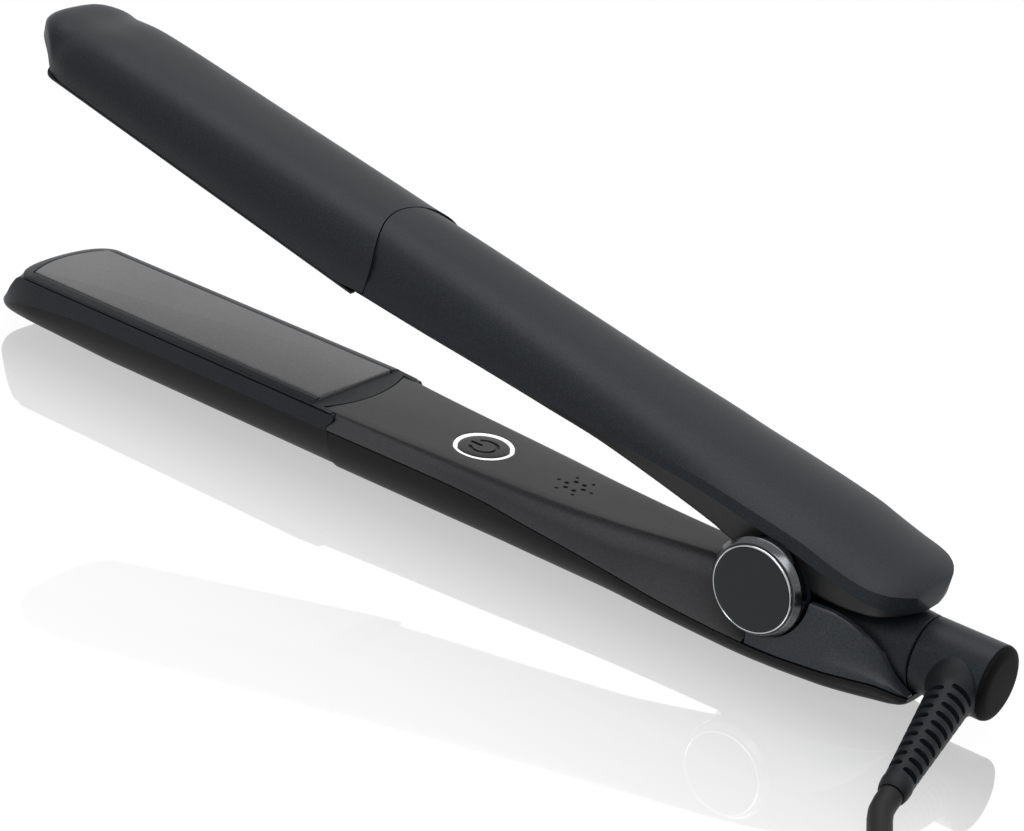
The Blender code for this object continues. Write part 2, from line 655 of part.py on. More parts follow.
def hinge_housing(arm):
    """Sides of the lower tail, with the deck and the two knuckles that carry the pin."""
    stations = steps_between(HOUSING_X + CLEARANCE, LOWER_TAIL_X, 10)

    def ring(x, inset, top, bottom):
        width = half_width(x) - inset
        return [(x, width, arm.z(bottom)), (x, width, arm.z(top)),
                (x, -width, arm.z(top)), (x, -width, arm.z(bottom))]

    outer = [ring(x, 0.0, housing_rim(x), arm.rim(x) - CLEARANCE) for x in stations]
    housing = loft("hinge_housing", outer, arm.frame, SATIN)
    deck_top, deck_bottom = 4.0, 6.0
    far = LOWER_TAIL_X + 2
    above = loft("housing_bay", [ring(x, 1.3, -20.0, deck_top) for x in steps_between(-6, far, 8)],
                 arm.frame, None)
    below = loft("housing_room", [ring(x, 1.3, deck_bottom, 20.0) for x in steps_between(-6, far, 8)],
                 arm.frame, None)
    cut(housing, above, below, *ear_clearance(arm, "housing"))
    cut(housing, barrel_room("housing"))
    deck_z = arm.z(deck_bottom)
    for side, name in ((-1, "near"), (1, "far")):
        y0, y1 = sorted((side * KNUCKLE_INNER_Y, side * KNUCKLE_OUTER_Y))
        web = block(f"knuckle_web_{name}", (-KNUCKLE_RADIUS, y0, deck_z),
                    (KNUCKLE_RADIUS, y1, 0.0), arm.frame, None)
        eye = turned(f"knuckle_eye_{name}", "Y", [(y0, KNUCKLE_RADIUS), (y1, KNUCKLE_RADIUS)],
                     arm.frame, None)
        add(housing, web, eye)
    bore = turned("pin_bore", "Y", [(-20, PIN_RADIUS + CLEARANCE), (20, PIN_RADIUS + CLEARANCE)],
                  arm.frame, None, count=24)
    return cut(housing, bore)


def upper_handle(arm):
    """Upper handle's outer shell, with a crisp shoulder and a blunt tail."""
    tail = [8.0, 14.0, 19.0, 23.5, 27.0, 29.4, 30.9, UPPER_TAIL_X]
    stations = steps_between(UPPER_SEAM_X, -4.0, 11) + tail

    def ring(x, inset, wall, rim_offset=0.0):
        width = tail_width(min(x, UPPER_TAIL_X)) - inset
        return arch(arm, x, width, arm.rim(x) + rim_offset, arm.depth(x) - inset,
                    (2.6 if x < -60 else 2.5, arch_height_power(x)), wall=wall, lean=shoulder_lean(x))

    outer = [ring(x, 0.0, shoulder(x)) for x in stations]
    shell = loft("upper_handle_shell", outer, arm.frame, SATIN)
    inside = steps_between(UPPER_SEAM_X - 1, -4.0, 9) + [8.0, 14.0, 19.0, 23.0, 26.0, 27.6]
    inner = [ring(x, WALL, 8.0, shoulder(x) - 8.0) for x in inside]
    return cut(shell, loft("upper_handle_cavity", inner, arm.frame, None),
               seam_prism(arm, "upper_handle_seam", CLEARANCE, arm.seam_x - 40))


def upper_cover(arm):
    """Upper handle's inner cover, with the two ears that turn on the hinge pin."""
    tail = [4.0, 10.0, 16.0, 20.0, 23.5, 26.0, 27.6]
    rim = lambda x: arm.rim(x) - CLEARANCE
    side = lambda x: tail_width(x + 0.9) - 0.5 - max(0.0, min(0.6, (x - 5) / 10))

    def ring(x, inset=0.0):
        face = min(arm_face(x), rim(x) - 0.9)
        return cover_ring(arm, x, side(x), rim(x) + (6 if inset else 0), cover_flat(x), face, inset)

    arm_face = upper_face
    cover_flat = lambda x: min(flat_half(x) + max(0.0, (x + 30) / 30) * 3.4, side(x) - 2.0)
    stations = steps_between(LOWER_SEAM_X + CLEARANCE, -4.0, 12) + tail
    cover = loft("upper_inner_cover", [ring(x) for x in stations], arm.frame, HEATPROOF)
    inside = steps_between(LOWER_SEAM_X + COVER_WALL, -4.0, 12) + [4.0, 10.0, 16.0, 20.0, 23.0]
    cavity = loft("upper_cover_cavity", [ring(x, COVER_WALL) for x in inside], arm.frame, None)
    cut(cover, cavity)
    for side_name, sign in (("near", -1), ("far", 1)):
        add(cover, ear(arm, side_name, sign))
    bore = turned("ear_bore", "Y", [(-20, BUSH_RADIUS + CLEARANCE), (20, BUSH_RADIUS + CLEARANCE)],
                  arm.frame, None, count=24)
    return cut(cover, bore)


def ear(arm, name, sign):
    """A round ear whose top runs up into the cover."""
    top = arm.z(11.4)
    spread = 0.125 * math.pi  # how far the round edge passes the level through the pin
    profile = []
    for i in range(25):
        angle = math.pi / 2 - spread + (math.pi + 2 * spread) * i / 24
        profile.append((EAR_RADIUS * math.sin(angle), EAR_RADIUS * math.cos(angle)))
    half = EAR_RADIUS * math.cos(spread)
    profile += [(-half, top), (half, top)]
    rings = [[(x, sign * y, z) for x, z in profile] for y in (EAR_INNER_Y, EAR_OUTER_Y - 0.6)]
    return loft(f"ear_{name}", rings, arm.frame, None)


# ---------------------------------------------------------------- hinge
def hinge(root, arm_frame):
    turned("hinge_pin", "Y", [(-EAR_OUTER_Y, PIN_RADIUS - 0.3), (-EAR_OUTER_Y + 0.4, PIN_RADIUS),
           (EAR_OUTER_Y - 0.4, PIN_RADIUS), (EAR_OUTER_Y, PIN_RADIUS - 0.3)], root, STEEL, count=24)
    for sign, name in ((-1, "near"), (1, "far")):
        inner, outer = sign * (KNUCKLE_OUTER_Y + 0.25), sign * (EAR_OUTER_Y - 0.4)
        turned_ring(f"hinge_bush_{name}", "Y", [
            (inner, PIN_RADIUS + CLEARANCE), (outer, PIN_RADIUS + CLEARANCE),
            (outer, BUSH_RADIUS), (inner, BUSH_RADIUS)], arm_frame, BUSHING, count=24)
        hinge_cap(root, sign, name)
    hinge_spring(root)


def hinge_cap(root, sign, name):
    """Round cap on the hinge's side, and the thin bright ring set in its face."""
    back = EAR_OUTER_Y + 0.4
    groove = CAP_FACE_Y - 0.5
    face = CAP_FACE_RADIUS
    turned(f"hinge_cap_{name}", "Y", [
        (sign * back, CAP_BASE_RADIUS), (sign * (back + 0.9), CAP_BASE_RADIUS),
        (sign * (groove - 0.2), face + 0.5), (sign * groove, face), (sign * groove, face - CAP_RING_WIDTH),
        (sign * (CAP_FACE_Y - 0.15), face - CAP_RING_WIDTH),
        (sign * CAP_FACE_Y, face - CAP_RING_WIDTH - 0.3)], root, GLOSS, count=48)
    turned_ring(f"cap_ring_{name}", "Y", [
        (sign * (groove + 0.1), face), (sign * (groove + 0.1), face - CAP_RING_WIDTH + 0.1),
        (sign * (CAP_FACE_Y - 0.02), face - CAP_RING_WIDTH + 0.1),
        (sign * (CAP_FACE_Y - 0.12), face - 0.05)], root, CHROME, count=48)


def hinge_spring(root):
    """Torsion spring that opens the arms: a wound body and two straight legs."""
    points = []
    body = 2 * (KNUCKLE_INNER_Y - 1.1)
    steps = 12
    count = HINGE_SPRING_TURNS * steps + steps // 2
    for i in range(count + 1):
        angle = 2 * math.pi * i / steps - math.pi / 2
        points.append(Vector((HINGE_SPRING_RADIUS * math.cos(angle), body * (i / count - 0.5),
                              HINGE_SPRING_RADIUS * math.sin(angle))))
    leg = Vector((-HINGE_SPRING_LEG, 0, 0))
    points.insert(0, points[0] + leg)
    points.append(points[-1] + leg)
    return tube("hinge_spring", points, HINGE_SPRING_WIRE, root, SPRING_STEEL, 1)


def tube(name, points, diameter, parent, look, resolution):
    """A round bar along points, as a bevelled curve with closed ends."""
    data = bpy.data.curves.new(name, "CURVE")
    data.dimensions = "3D"
    data.bevel_depth = diameter / 2 * MM
    data.bevel_resolution = resolution
    data.use_fill_caps = True
    line = data.splines.new("POLY")
    line.points.add(len(points) - 1)
    for point, place in zip(line.points, points):
        point.co = (*(Vector(place) * MM), 1.0)
    data.materials.append(material(*look))
    made = bpy.data.objects.new(name, data)
    bpy.context.scene.collection.objects.link(made)
    made.parent = parent
    return made


# ---------------------------------------------------------------- controls
def controls(arm, button_frame):
    """Power button, its light ring, the board below, its switch and the buzzer."""
    face = lower_face(BUTTON_X)
    ring_inner = BUTTON_RADIUS + 0.2
    foot = face + 4.2
    turned_ring("button_light_ring", "Z", [
        (arm.z(face), LIGHT_RING_RADIUS), (arm.z(foot), LIGHT_RING_RADIUS),
        (arm.z(foot), ring_inner), (arm.z(face), ring_inner)], arm.frame, WHITE,
        centre=(BUTTON_X, 0, 0))
    stem = 1.7
    board_top = BOARD_DEPTH
    switch_top = board_top - 2.2
    turned("power_button", "Z", [
        (arm.z(switch_top - CLEARANCE), stem), (arm.z(face + 1.6), stem),
        (arm.z(face + 1.6), BUTTON_RADIUS - CLEARANCE), (arm.z(face + 0.25), BUTTON_RADIUS - CLEARANCE),
        (arm.z(face), BUTTON_RADIUS - 0.6)], button_frame, COVER, centre=(0, 0, 0))
    arm_block("circuit_board", arm, BOARD_X, BOARD_HALF_WIDTH,
              (board_top, board_top + BOARD_THICKNESS), arm.frame, BOARD)
    arm_block("tact_switch", arm, (BUTTON_X - 3, BUTTON_X + 3), 3.0,
              (switch_top + BUTTON_TRAVEL, board_top - 0.05), arm.frame, HEATPROOF)
    buzzer_top = lower_face(BUZZER_X) + COVER_WALL + CLEARANCE + 0.4
    turned("buzzer", "Z", [
        (arm.z(board_top - 0.05), BUZZER_RADIUS), (arm.z(buzzer_top + 0.3), BUZZER_RADIUS),
        (arm.z(buzzer_top), BUZZER_RADIUS - 0.3)], arm.frame, HEATPROOF, count=24,
        centre=(BUZZER_X, 0, 0))


# ---------------------------------------------------------------- cord outlet
def outlet(root, swivel):
    """Fixed collar and brushes, and the swivelling barrel with its spindle and slip rings."""
    bore = SLIP_RING_RADIUS + 1.6
    turned_ring("fixed_collar", "X", [
        (COLLAR_START_X, COLLAR_START_RADIUS), (COLLAR_END_X, SWIVEL_RADIUS),
        (COLLAR_END_X, SPINDLE_RADIUS + CLEARANCE), (27.4, SPINDLE_RADIUS + CLEARANCE),
        (27.4, bore), (COLLAR_START_X + 1.4, bore), (COLLAR_START_X + 1.4, SPINDLE_RADIUS + CLEARANCE),
        (COLLAR_START_X, SPINDLE_RADIUS + CLEARANCE)], root, SATIN, count=40, centre=(0, 0, SWIVEL_Z))
    barrel = turned("swivel_barrel", "X", [
        (SPINDLE_START_X, SPINDLE_RADIUS), (COLLAR_END_X + 0.3, SPINDLE_RADIUS),
        (COLLAR_END_X + 0.3, SWIVEL_RADIUS - 0.25), (COLLAR_END_X + 0.6, SWIVEL_RADIUS),
        (BARREL_END_X - END_CAP_THICKNESS, SWIVEL_RADIUS)], swivel, SATIN, count=40)
    end = BARREL_END_X
    turned("barrel_end_cap", "X", [
        (end - END_CAP_THICKNESS + 0.1, SWIVEL_RADIUS - 0.15), (end - 1.2, SWIVEL_RADIUS - 0.1),
        (end - 0.5, SWIVEL_RADIUS - 0.6), (end - 0.1, SWIVEL_RADIUS - 1.4),
        (end, SWIVEL_RADIUS - 2.2)], swivel, SATIN, count=40)
    for name, x in zip(("live", "neutral"), SLIP_RING_X):
        turned_ring(f"slip_ring_{name}", "X", [
            (x, SPINDLE_RADIUS + 0.05), (x, SLIP_RING_RADIUS), (x + SLIP_RING_WIDTH, SLIP_RING_RADIUS),
            (x + SLIP_RING_WIDTH, SPINDLE_RADIUS + 0.05)], swivel, BRASS, count=24)
        z0 = SWIVEL_Z + SLIP_RING_RADIUS + CLEARANCE
        block(f"brush_{name}", (x + 0.3, -1.2, z0), (x + SLIP_RING_WIDTH - 0.3, 1.2, z0 + 1.1),
              root, BRASS)
    strain_relief(barrel, swivel)


def relief_turn():
    return Matrix.Rotation(RELIEF_RAKE, 4, "Z")


RELIEF_PROFILE = (
    (5.2, 6.0), (8.7, 5.5), (10.4, 4.8), (36.2, 3.1), (37.6, 3.25), (41.2, 3.1), (RELIEF_REACH, 2.8),
)


def relief_radius(reach):
    return curve((10.4, 4.8), (36.2, 3.1))(reach)


def relief_ring(reach, radius, count=20):
    """A ring round the relief's axis, which leaves the barrel near -Y with its rake."""
    turn = relief_turn()
    centre = Vector((RELIEF_ROOT_X, 0, 0))
    return [tuple(centre + turn @ Vector(p)) for p in circle("Y", -reach, radius, count)]


def strain_relief(barrel, swivel):
    """Tapered relief with four rows of slots, whose root is saddled to the barrel."""
    rings = [relief_ring(reach, radius) for reach, radius in RELIEF_PROFILE]
    relief = loft("strain_relief", rings, swivel, RUBBER)
    saddle = turned("relief_saddle", "X", [(COLLAR_END_X, SWIVEL_RADIUS + CLEARANCE),
                    (BARREL_END_X + 4, SWIVEL_RADIUS + CLEARANCE)], swivel, None, count=40)
    cut(relief, saddle)
    mesh = bmesh.new()
    first, last = 12.6, 35.0
    pitch = (last - first) / (RELIEF_SLOTS - 0.5)
    turn = relief_turn()
    for row in range(4):
        for i in range(RELIEF_SLOTS):
            reach = first + pitch * (i + 0.5 * (row % 2))
            radius = relief_radius(reach)
            floor = radius - RELIEF_SLOT_DEPTH
            half = 0.55 * radius
            spin = Matrix.Rotation(row * math.pi / 2, 4, "Y")
            ring = lambda y: [(-half, y, floor), (half, y, floor), (half, y, radius + 2),
                              (-half, y, radius + 2)]
            place = lambda p: tuple(Vector((RELIEF_ROOT_X, 0, 0)) + turn @ (spin @ Vector(p)))
            add_loft(mesh, [[place(p) for p in ring(-reach + s * 0.55)] for s in (-1, 1)])
    cut(relief, finish("relief_slots", mesh, swivel, None))


# ---------------------------------------------------------------- lead
def smooth_route(points, spacing):
    """Points read at an even spacing from a smooth curve through the route's own points."""
    route = [Vector(p) for p in points]
    padded = [2 * route[0] - route[1], *route, 2 * route[-1] - route[-2]]
    fine = []
    for a, b, c, d in zip(padded, padded[1:], padded[2:], padded[3:]):
        for i in range(24):
            t = i / 24
            fine.append(0.5 * (2 * b + (c - a) * t + (2 * a - 5 * b + 4 * c - d) * t**2
                               + (3 * b - a - 3 * c + d) * t**3))
    fine.append(route[-1])
    travel = [0.0]
    for a, b in zip(fine, fine[1:]):
        travel.append(travel[-1] + (b - a).length)
    count = max(2, round(travel[-1] / spacing))
    made, at = [], 0
    for k in range(count + 1):
        goal = travel[-1] * k / count
        while at < len(travel) - 2 and travel[at + 1] < goal:
            at += 1
        share = (goal - travel[at]) / (travel[at + 1] - travel[at])
        made.append(fine[at].lerp(fine[at + 1], min(1.0, share)))
    return made


def relief_exit():
    """Where the cord leaves the relief, and in which direction, in the hinge frame."""
    out = Matrix.Rotation(RELIEF_DROP, 4, "X") @ relief_turn() @ Vector((0, -1, 0))
    return Vector((RELIEF_ROOT_X, 0, SWIVEL_Z)) + out * RELIEF_REACH, out


CORD_LIFT = TABLE_Z + CORD_DIAMETER / 2 + 0.05
COIL_START_X = COIL_CENTRE[0] - 9.0
COIL_START_Y = COIL_CENTRE[1] - COIL_OUTER_RADIUS


def cord_route():
    exit_point, out = relief_exit()
    return [
        exit_point + out * CLEARANCE,
        exit_point + out * 5.4,
        (52.2, -51.4, CORD_LIFT + 0.15),
        (56.2, -58.4, CORD_LIFT),
        (61.8, -63.8, CORD_LIFT),
        (69.2, -67.2, CORD_LIFT),
        (78.0, -68.6, CORD_LIFT),
        (89.0, -68.4, CORD_LIFT),
        (99.0, COIL_START_Y - 0.1, CORD_LIFT),
        (106.0, COIL_START_Y, CORD_LIFT),
        (COIL_START_X - CLEARANCE, COIL_START_Y, CORD_LIFT),
    ]


def coil_points():
    """Loops that spiral in and out in layers, then run across the top to the plug."""
    pitch = CORD_DIAMETER + CORD_GAP
    turns = TURNS_PER_LAYER * LAYERS
    centre = Vector((*COIL_CENTRE, CORD_LIFT))
    points = [(COIL_START_X, COIL_START_Y, CORD_LIFT)]
    extra = POINTS_PER_TURN // 4
    for i in range(turns * POINTS_PER_TURN + extra + 1):
        turn = i / POINTS_PER_TURN
        place = turn / TURNS_PER_LAYER
        inward = TURNS_PER_LAYER * abs(place - 2 * round(place / 2))
        nearest = max(1, round(place))
        climb = min(1.0, max(0.0, 0.5 + (turn - nearest * TURNS_PER_LAYER) * 2))
        layer = nearest - 1 + climb
        radius = COIL_OUTER_RADIUS - pitch * inward
        angle = -math.pi / 2 + 2 * math.pi * turn
        points.append(centre + Vector((radius * math.cos(angle), radius * math.sin(angle),
                                       pitch * layer)))
    return points


def plug_place():
    """The plug lies on the coil, with its cord end towards +X."""
    pitch = CORD_DIAMETER + CORD_GAP
    top = CORD_LIFT + pitch * (LAYERS - 1) + CORD_DIAMETER / 2
    return Vector((COIL_CENTRE[0] + 11.0, COIL_CENTRE[1] + 24.0, top + CLEARANCE + PLUG_THICKNESS / 2))


def coil_finish(points):
    """The last stretch: a quarter turn over the top layer into the plug."""
    plug = plug_place()
    start = Vector(points[-1])
    bend = plug.y - start.y
    centre_x = start.x - bend
    steps = 8
    for i in range(1, steps + 1):
        angle = 0.5 * math.pi * i / steps
        rise = (plug.z - start.z) * (1 - math.cos(math.pi * i / steps)) / 2
        points.append(Vector((centre_x + bend * math.cos(angle), start.y + bend * math.sin(angle),
                              start.z + rise)))
    points.append(Vector((plug.x + CLEARANCE, plug.y, plug.z)))
    return points


def least_gap(points, diameter):
    """Least clear distance between stretches of a tube that aren't next to each other."""
    line = [Vector(p) for p in points]
    travel = [0.0]
    for a, b in zip(line, line[1:]):
        travel.append(travel[-1] + (b - a).length)
    fine, at = [], []
    for i in range(len(line) - 1):
        for k in range(3):
            fine.append(line[i].lerp(line[i + 1], k / 3))
            at.append(travel[i] + (travel[i + 1] - travel[i]) * k / 3)
    least = 1e9
    for i in range(len(fine)):
        for j in range(i + 1, len(fine)):
            if at[j] - at[i] > 4 * diameter:
                least = min(least, (fine[i] - fine[j]).length)
    return least - diameter


def lead(root):
    """The free cord, its stored coil and the plug."""
    route = smooth_route(cord_route(), 5.0)
    cord = tube("cord", route, CORD_DIAMETER, root, RUBBER, 2)
    points = coil_finish(coil_points())
    tube("cord_coil", points, CORD_DIAMETER, root, RUBBER, 1)
    length = sum((Vector(b) - Vector(a)).length for a, b in zip(points, points[1:]))
    length += sum((b - a).length for a, b in zip(route, route[1:]))
    print(f"cord length {length:.0f} mm, least gap in the coil {least_gap(points, CORD_DIAMETER):.2f} mm")
    plug(root)
    return cord


def plug(root):
    """A slim two-pin plug, tapered to its cord end."""
    at = plug_place()
    half, thick = PLUG_WIDTH / 2, PLUG_THICKNESS / 2

    def ring(x, y, z, cut_corner):
        c = min(cut_corner, z * 0.6)
        shape = [(y, z - c), (y - c, z), (-y + c, z), (-y, z - c), (-y, -z + c), (-y + c, -z),
                 (y - c, -z), (y, -z + c)]
        return [(at.x - x, at.y + a, at.z + b) for a, b in shape]

    loft("plug_body", [
        ring(0.0, 4.6, 4.4, 1.6), ring(7.0, 5.6, 5.2, 1.8), ring(15.0, half - 3.5, thick, 2.4),
        ring(20.0, half, thick, 2.6), ring(PLUG_LENGTH - 1.0, half, thick, 2.6),
        ring(PLUG_LENGTH, half - 1.0, thick - 1.0, 2.2)], root, RUBBER)
    for sign, name in ((-1, "a"), (1, "b")):
        x0 = at.x - PLUG_LENGTH - 0.05
        profile = [(x0, PLUG_PIN_RADIUS), (x0 - PLUG_PIN_LENGTH + 1.0, PLUG_PIN_RADIUS),
                   (x0 - PLUG_PIN_LENGTH, PLUG_PIN_RADIUS - 0.8)]
        turned(f"plug_pin_{name}", "X", profile, root, NICKEL, count=16,
               centre=(0, at.y + sign * PIN_SPACING / 2, at.z))


# ---------------------------------------------------------------- assembly
def build():
    for old in list(bpy.data.objects):
        bpy.data.objects.remove(old)
    root = empty("hinge_frame", location=(-CENTRE_X, 0, -TABLE_Z))
    opened = empty("upper_arm_frame", root, rotation=(0, OPEN_ANGLE, 0))
    swivel = empty("swivel_frame", root, (0, 0, SWIVEL_Z), (RELIEF_DROP, 0, 0))
    lower = Arm(-1, root, lower_depth, lower_rim, LOWER_SEAM_X, 0.0, lower_nose, LOWER_TRAY_DEPTH)
    upper = Arm(1, opened, upper_depth, upper_rim, UPPER_SEAM_X, UPPER_SEAM_BOW, upper_nose,
                UPPER_TRAY_DEPTH)
    lower_float = empty("lower_plate_frame_axis", root)
    upper_float = empty("upper_plate_frame_axis", opened)
    button = empty("button_axis", root, (BUTTON_X, 0, 0))
    for prefix, arm, floating in (("lower", lower, lower_float), ("upper", upper, upper_float)):
        front_shell(f"{prefix}_front_shell", arm)
        plate_frame(f"{prefix}_plate_frame", arm)
        heat_pack(prefix, arm, floating)
    lower_handle(lower)
    lower_cover(lower)
    hinge_housing(lower)
    upper_handle(upper)
    upper_cover(upper)
    hinge(root, opened)
    controls(lower, button)
    outlet(root, swivel)
    lead(root)


build()
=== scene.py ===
"""Looks for the hair straightener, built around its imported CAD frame.

Sizes are in millimetres in the hinge frame: X along the arms, Y across them, Z up, with the hinge
axis at the origin. H is the depth below an arm's inner side, from the plane where the plates meet.
"""

from dataclasses import dataclass
from math import copysign, cos, hypot, pi, radians, sin, sqrt

import bmesh
import bpy
from mathutils import Matrix, Vector

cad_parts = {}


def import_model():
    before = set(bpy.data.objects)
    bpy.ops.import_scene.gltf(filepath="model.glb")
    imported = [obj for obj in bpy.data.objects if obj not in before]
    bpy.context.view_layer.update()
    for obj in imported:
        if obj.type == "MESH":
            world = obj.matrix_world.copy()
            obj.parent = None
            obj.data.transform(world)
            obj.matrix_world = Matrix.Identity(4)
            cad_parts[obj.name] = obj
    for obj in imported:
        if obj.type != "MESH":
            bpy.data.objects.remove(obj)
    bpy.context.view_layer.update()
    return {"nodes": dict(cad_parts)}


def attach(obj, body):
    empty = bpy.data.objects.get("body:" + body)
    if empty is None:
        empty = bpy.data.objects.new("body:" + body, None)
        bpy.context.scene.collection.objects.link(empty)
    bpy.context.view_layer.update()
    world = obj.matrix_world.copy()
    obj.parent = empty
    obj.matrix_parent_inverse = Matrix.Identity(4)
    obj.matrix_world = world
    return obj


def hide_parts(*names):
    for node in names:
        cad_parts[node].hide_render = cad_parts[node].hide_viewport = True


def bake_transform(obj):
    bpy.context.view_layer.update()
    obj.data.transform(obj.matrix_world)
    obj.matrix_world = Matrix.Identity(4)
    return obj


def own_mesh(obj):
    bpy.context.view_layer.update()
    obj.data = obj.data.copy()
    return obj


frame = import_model()

MM = 0.001
CENTRE_X = -93.75
HINGE_Z = 21.9
PLATE_PLANE = -3.3
OPEN_ANGLE = radians(13.2)
SWIVEL_Z = -8.65
RELIEF_ROOT_X = 40.8
RELIEF_RAKE = radians(10.9)
RELIEF_DROP = radians(11.7)
RELIEF_REACH = 42.3
LOWER_TIP_X = -235.0
UPPER_TIP_X = -235.26
LOWER_SEAM_X = -118.0
UPPER_SEAM_X = -122.5
UPPER_SEAM_BOW = 7.5
LOWER_TAIL_X = 32.6
UPPER_TAIL_X = 29.6
FRONT_START = -214.5
FRONT_HALF_WIDTH = 16.3
FRONT_RIM = 2.6
LOWER_FRONT_RIM = 1.8
WALL = 1.8
GAP = 0.3

LOWER = Matrix.Translation((-CENTRE_X * MM, 0, HINGE_Z * MM))
UPPER = LOWER @ Matrix.Rotation(OPEN_ANGLE, 4, "Y")
SWIVEL = LOWER @ Matrix.Translation((0, 0, SWIVEL_Z * MM)) @ Matrix.Rotation(RELIEF_DROP, 4, "X")


# ---- curves
def curve(*knots):
    """A smooth function through (x, value) knots that never overshoots them."""
    steps = [(b[1] - a[1]) / (b[0] - a[0]) for a, b in zip(knots, knots[1:])]
    inner = [0.0 if a * b <= 0 else 2 * a * b / (a + b) for a, b in zip(steps, steps[1:])]
    slopes = [steps[0], *inner, steps[-1]]

    def value(x):
        if x <= knots[0][0]:
            return knots[0][1]
        for i, ((x0, v0), (x1, v1)) in enumerate(zip(knots, knots[1:])):
            if x <= x1:
                span = x1 - x0
                t = (x - x0) / span
                rise = 3 * t * t - 2 * t * t * t
                start = (t * t * t - 2 * t * t + t) * span * slopes[i]
                finish = (t * t * t - t * t) * span * slopes[i + 1]
                return v0 + (v1 - v0) * rise + start + finish
        return knots[-1][1]

    return value


def spaced(first, last, count):
    return [first + (last - first) * i / count for i in range(count + 1)]


lower_depth = curve(
    (LOWER_TIP_X, 13.7), (-233.5, 14.8), (-229.0, 15.6), (-218.0, 16.9), (-202.0, 18.2), (-192.0, 18.6),
    (-8.0, 18.6), (4.0, 18.1), (14.0, 17.5), (24.0, 17.0), (29.0, 16.6), (31.2, 15.8),
    (32.2, 14.9), (LOWER_TAIL_X, 14.2),
)
lower_crease = curve(
    (LOWER_TIP_X, 13.1), (-229.0, 11.0), (-222.0, 8.8), (-214.5, 7.6), (-200.0, 6.3), (-183.0, 5.9),
    (-159.0, 5.8), (LOWER_SEAM_X, 5.8),
)
upper_depth = curve(
    (UPPER_TIP_X, 7.57), (-233.7, 10.5), (-229.0, 13.6), (-221.0, 14.3), (-211.0, 15.6), (-163.0, 17.1),
    (-131.0, 18.0), (-100.0, 18.6), (-42.0, 19.1), (-4.0, 19.3), (12.0, 18.6), (20.0, 18.1),
    (24.0, 17.8), (27.0, 17.1), (28.2, 16.6), (28.5, 16.1), (29.0, 14.9), (UPPER_TAIL_X, 12.9),
)
lower_rim = curve(
    (LOWER_SEAM_X, 5.8), (-84.0, 5.6), (-71.0, 6.0), (-62.0, 6.9), (-51.0, 7.8), (-40.0, 8.8),
    (-20.0, 10.7), (-1.0, 11.3), (12.0, 10.9), (25.0, 11.1), (29.5, 12.0), (LOWER_TAIL_X, 13.0),
)
upper_rim = curve(
    (UPPER_SEAM_X, FRONT_RIM + 0.4), (-100.0, 5.0), (-80.0, 7.0), (-63.0, 8.9), (-47.0, 10.8), (-31.0, 12.6),
    (-15.0, 13.8), (0.0, 14.0), (11.0, 13.8), (20.0, 13.5), (27.0, 12.7), (UPPER_TAIL_X, 12.2),
)
shoulder = curve(
    (UPPER_SEAM_X, 0.3), (-98.0, 0.4), (-80.0, 0.9), (-64.0, 1.4), (-48.0, 1.8), (-32.0, 2.1), (-16.0, 2.2),
    (-1.0, 2.5), (5.0, 2.6), (9.6, 2.3), (15.6, 2.15), (20.2, 2.45), (24.0, 3.1), (28.2, 3.75), (28.5, 3.5),
    (29.0, 2.4), (UPPER_TAIL_X, 0.5),
)
shoulder_lean = curve(
    (-64.0, 0.1), (-48.0, 0.2), (-32.0, 0.4), (-16.0, 0.6), (0.0, 0.8), (28.0, 1.0), (UPPER_TAIL_X, 0.4),
)
crown_cut = curve((UPPER_SEAM_X, 0.0), (-80.0, 0.05), (-64.0, 0.12), (-48.0, 0.25), (-32.0, 0.4),
                  (-20.0, 0.65), (-10.0, 0.8))
half_width = curve(
    (FRONT_START, FRONT_HALF_WIDTH), (-110.0, FRONT_HALF_WIDTH + 0.2), (-20.0, 16.9),
    (5.0, 17.0), (14.0, 15.9), (22.0, 13.2), (28.0, 10.4), (31.0, 8.8), (LOWER_TAIL_X, 7.4),
)
tail_width = curve(
    (UPPER_SEAM_X, FRONT_HALF_WIDTH), (-60.0, 16.4), (-32.0, 16.5), (-10.0, 16.5), (5.0, 16.35),
    (10.0, 16.3), (16.0, 16.1), (20.2, 15.7), (23.6, 14.4), (26.0, 12.2), (27.6, 9.6), (28.6, 7.0),
    (29.2, 4.6), (UPPER_TAIL_X, 2.2),
)
crown_power = (
    curve((UPPER_SEAM_X, 2.6), (-80.0, 2.55), (-64.0, 2.5), (-48.0, 2.45), (-32.0, 2.3), (-20.0, 2.15),
          (-10.0, 2.05)),
    curve((UPPER_SEAM_X, 2.6), (-98.0, 2.88), (-80.0, 2.7), (-64.0, 2.76), (-48.0, 2.85), (-40.0, 3.3),
          (-32.0, 3.6), (-24.0, 2.8), (-14.0, 2.0)),
)
lower_power = curve((LOWER_SEAM_X, 2.42), (-84.0, 2.33), (-50.0, 2.05), (-37.0, 1.92), (5.0, 1.95),
                    (20.0, 2.2), (LOWER_TAIL_X, 2.4))
flat_half = curve((LOWER_SEAM_X, 15.0), (-100.0, 13.6), (-84.0, 12.4), (-60.0, 10.5), (-41.0, 8.6),
                  (-28.0, 6.8), (-12.0, 5.0))
upper_flat = curve((LOWER_SEAM_X, 14.4), (-85.0, 13.6), (-46.0, 13.6), (0.0, 14.2), (14.0, 14.0),
                   (22.0, 12.6), (26.0, 10.4), (UPPER_TAIL_X, 3.0))
lower_face = curve((LOWER_SEAM_X, 1.5), (-100.0, 1.9), (-59.0, 2.3), (-41.0, 1.9), (-28.0, 1.2),
                   (-12.0, 0.4))
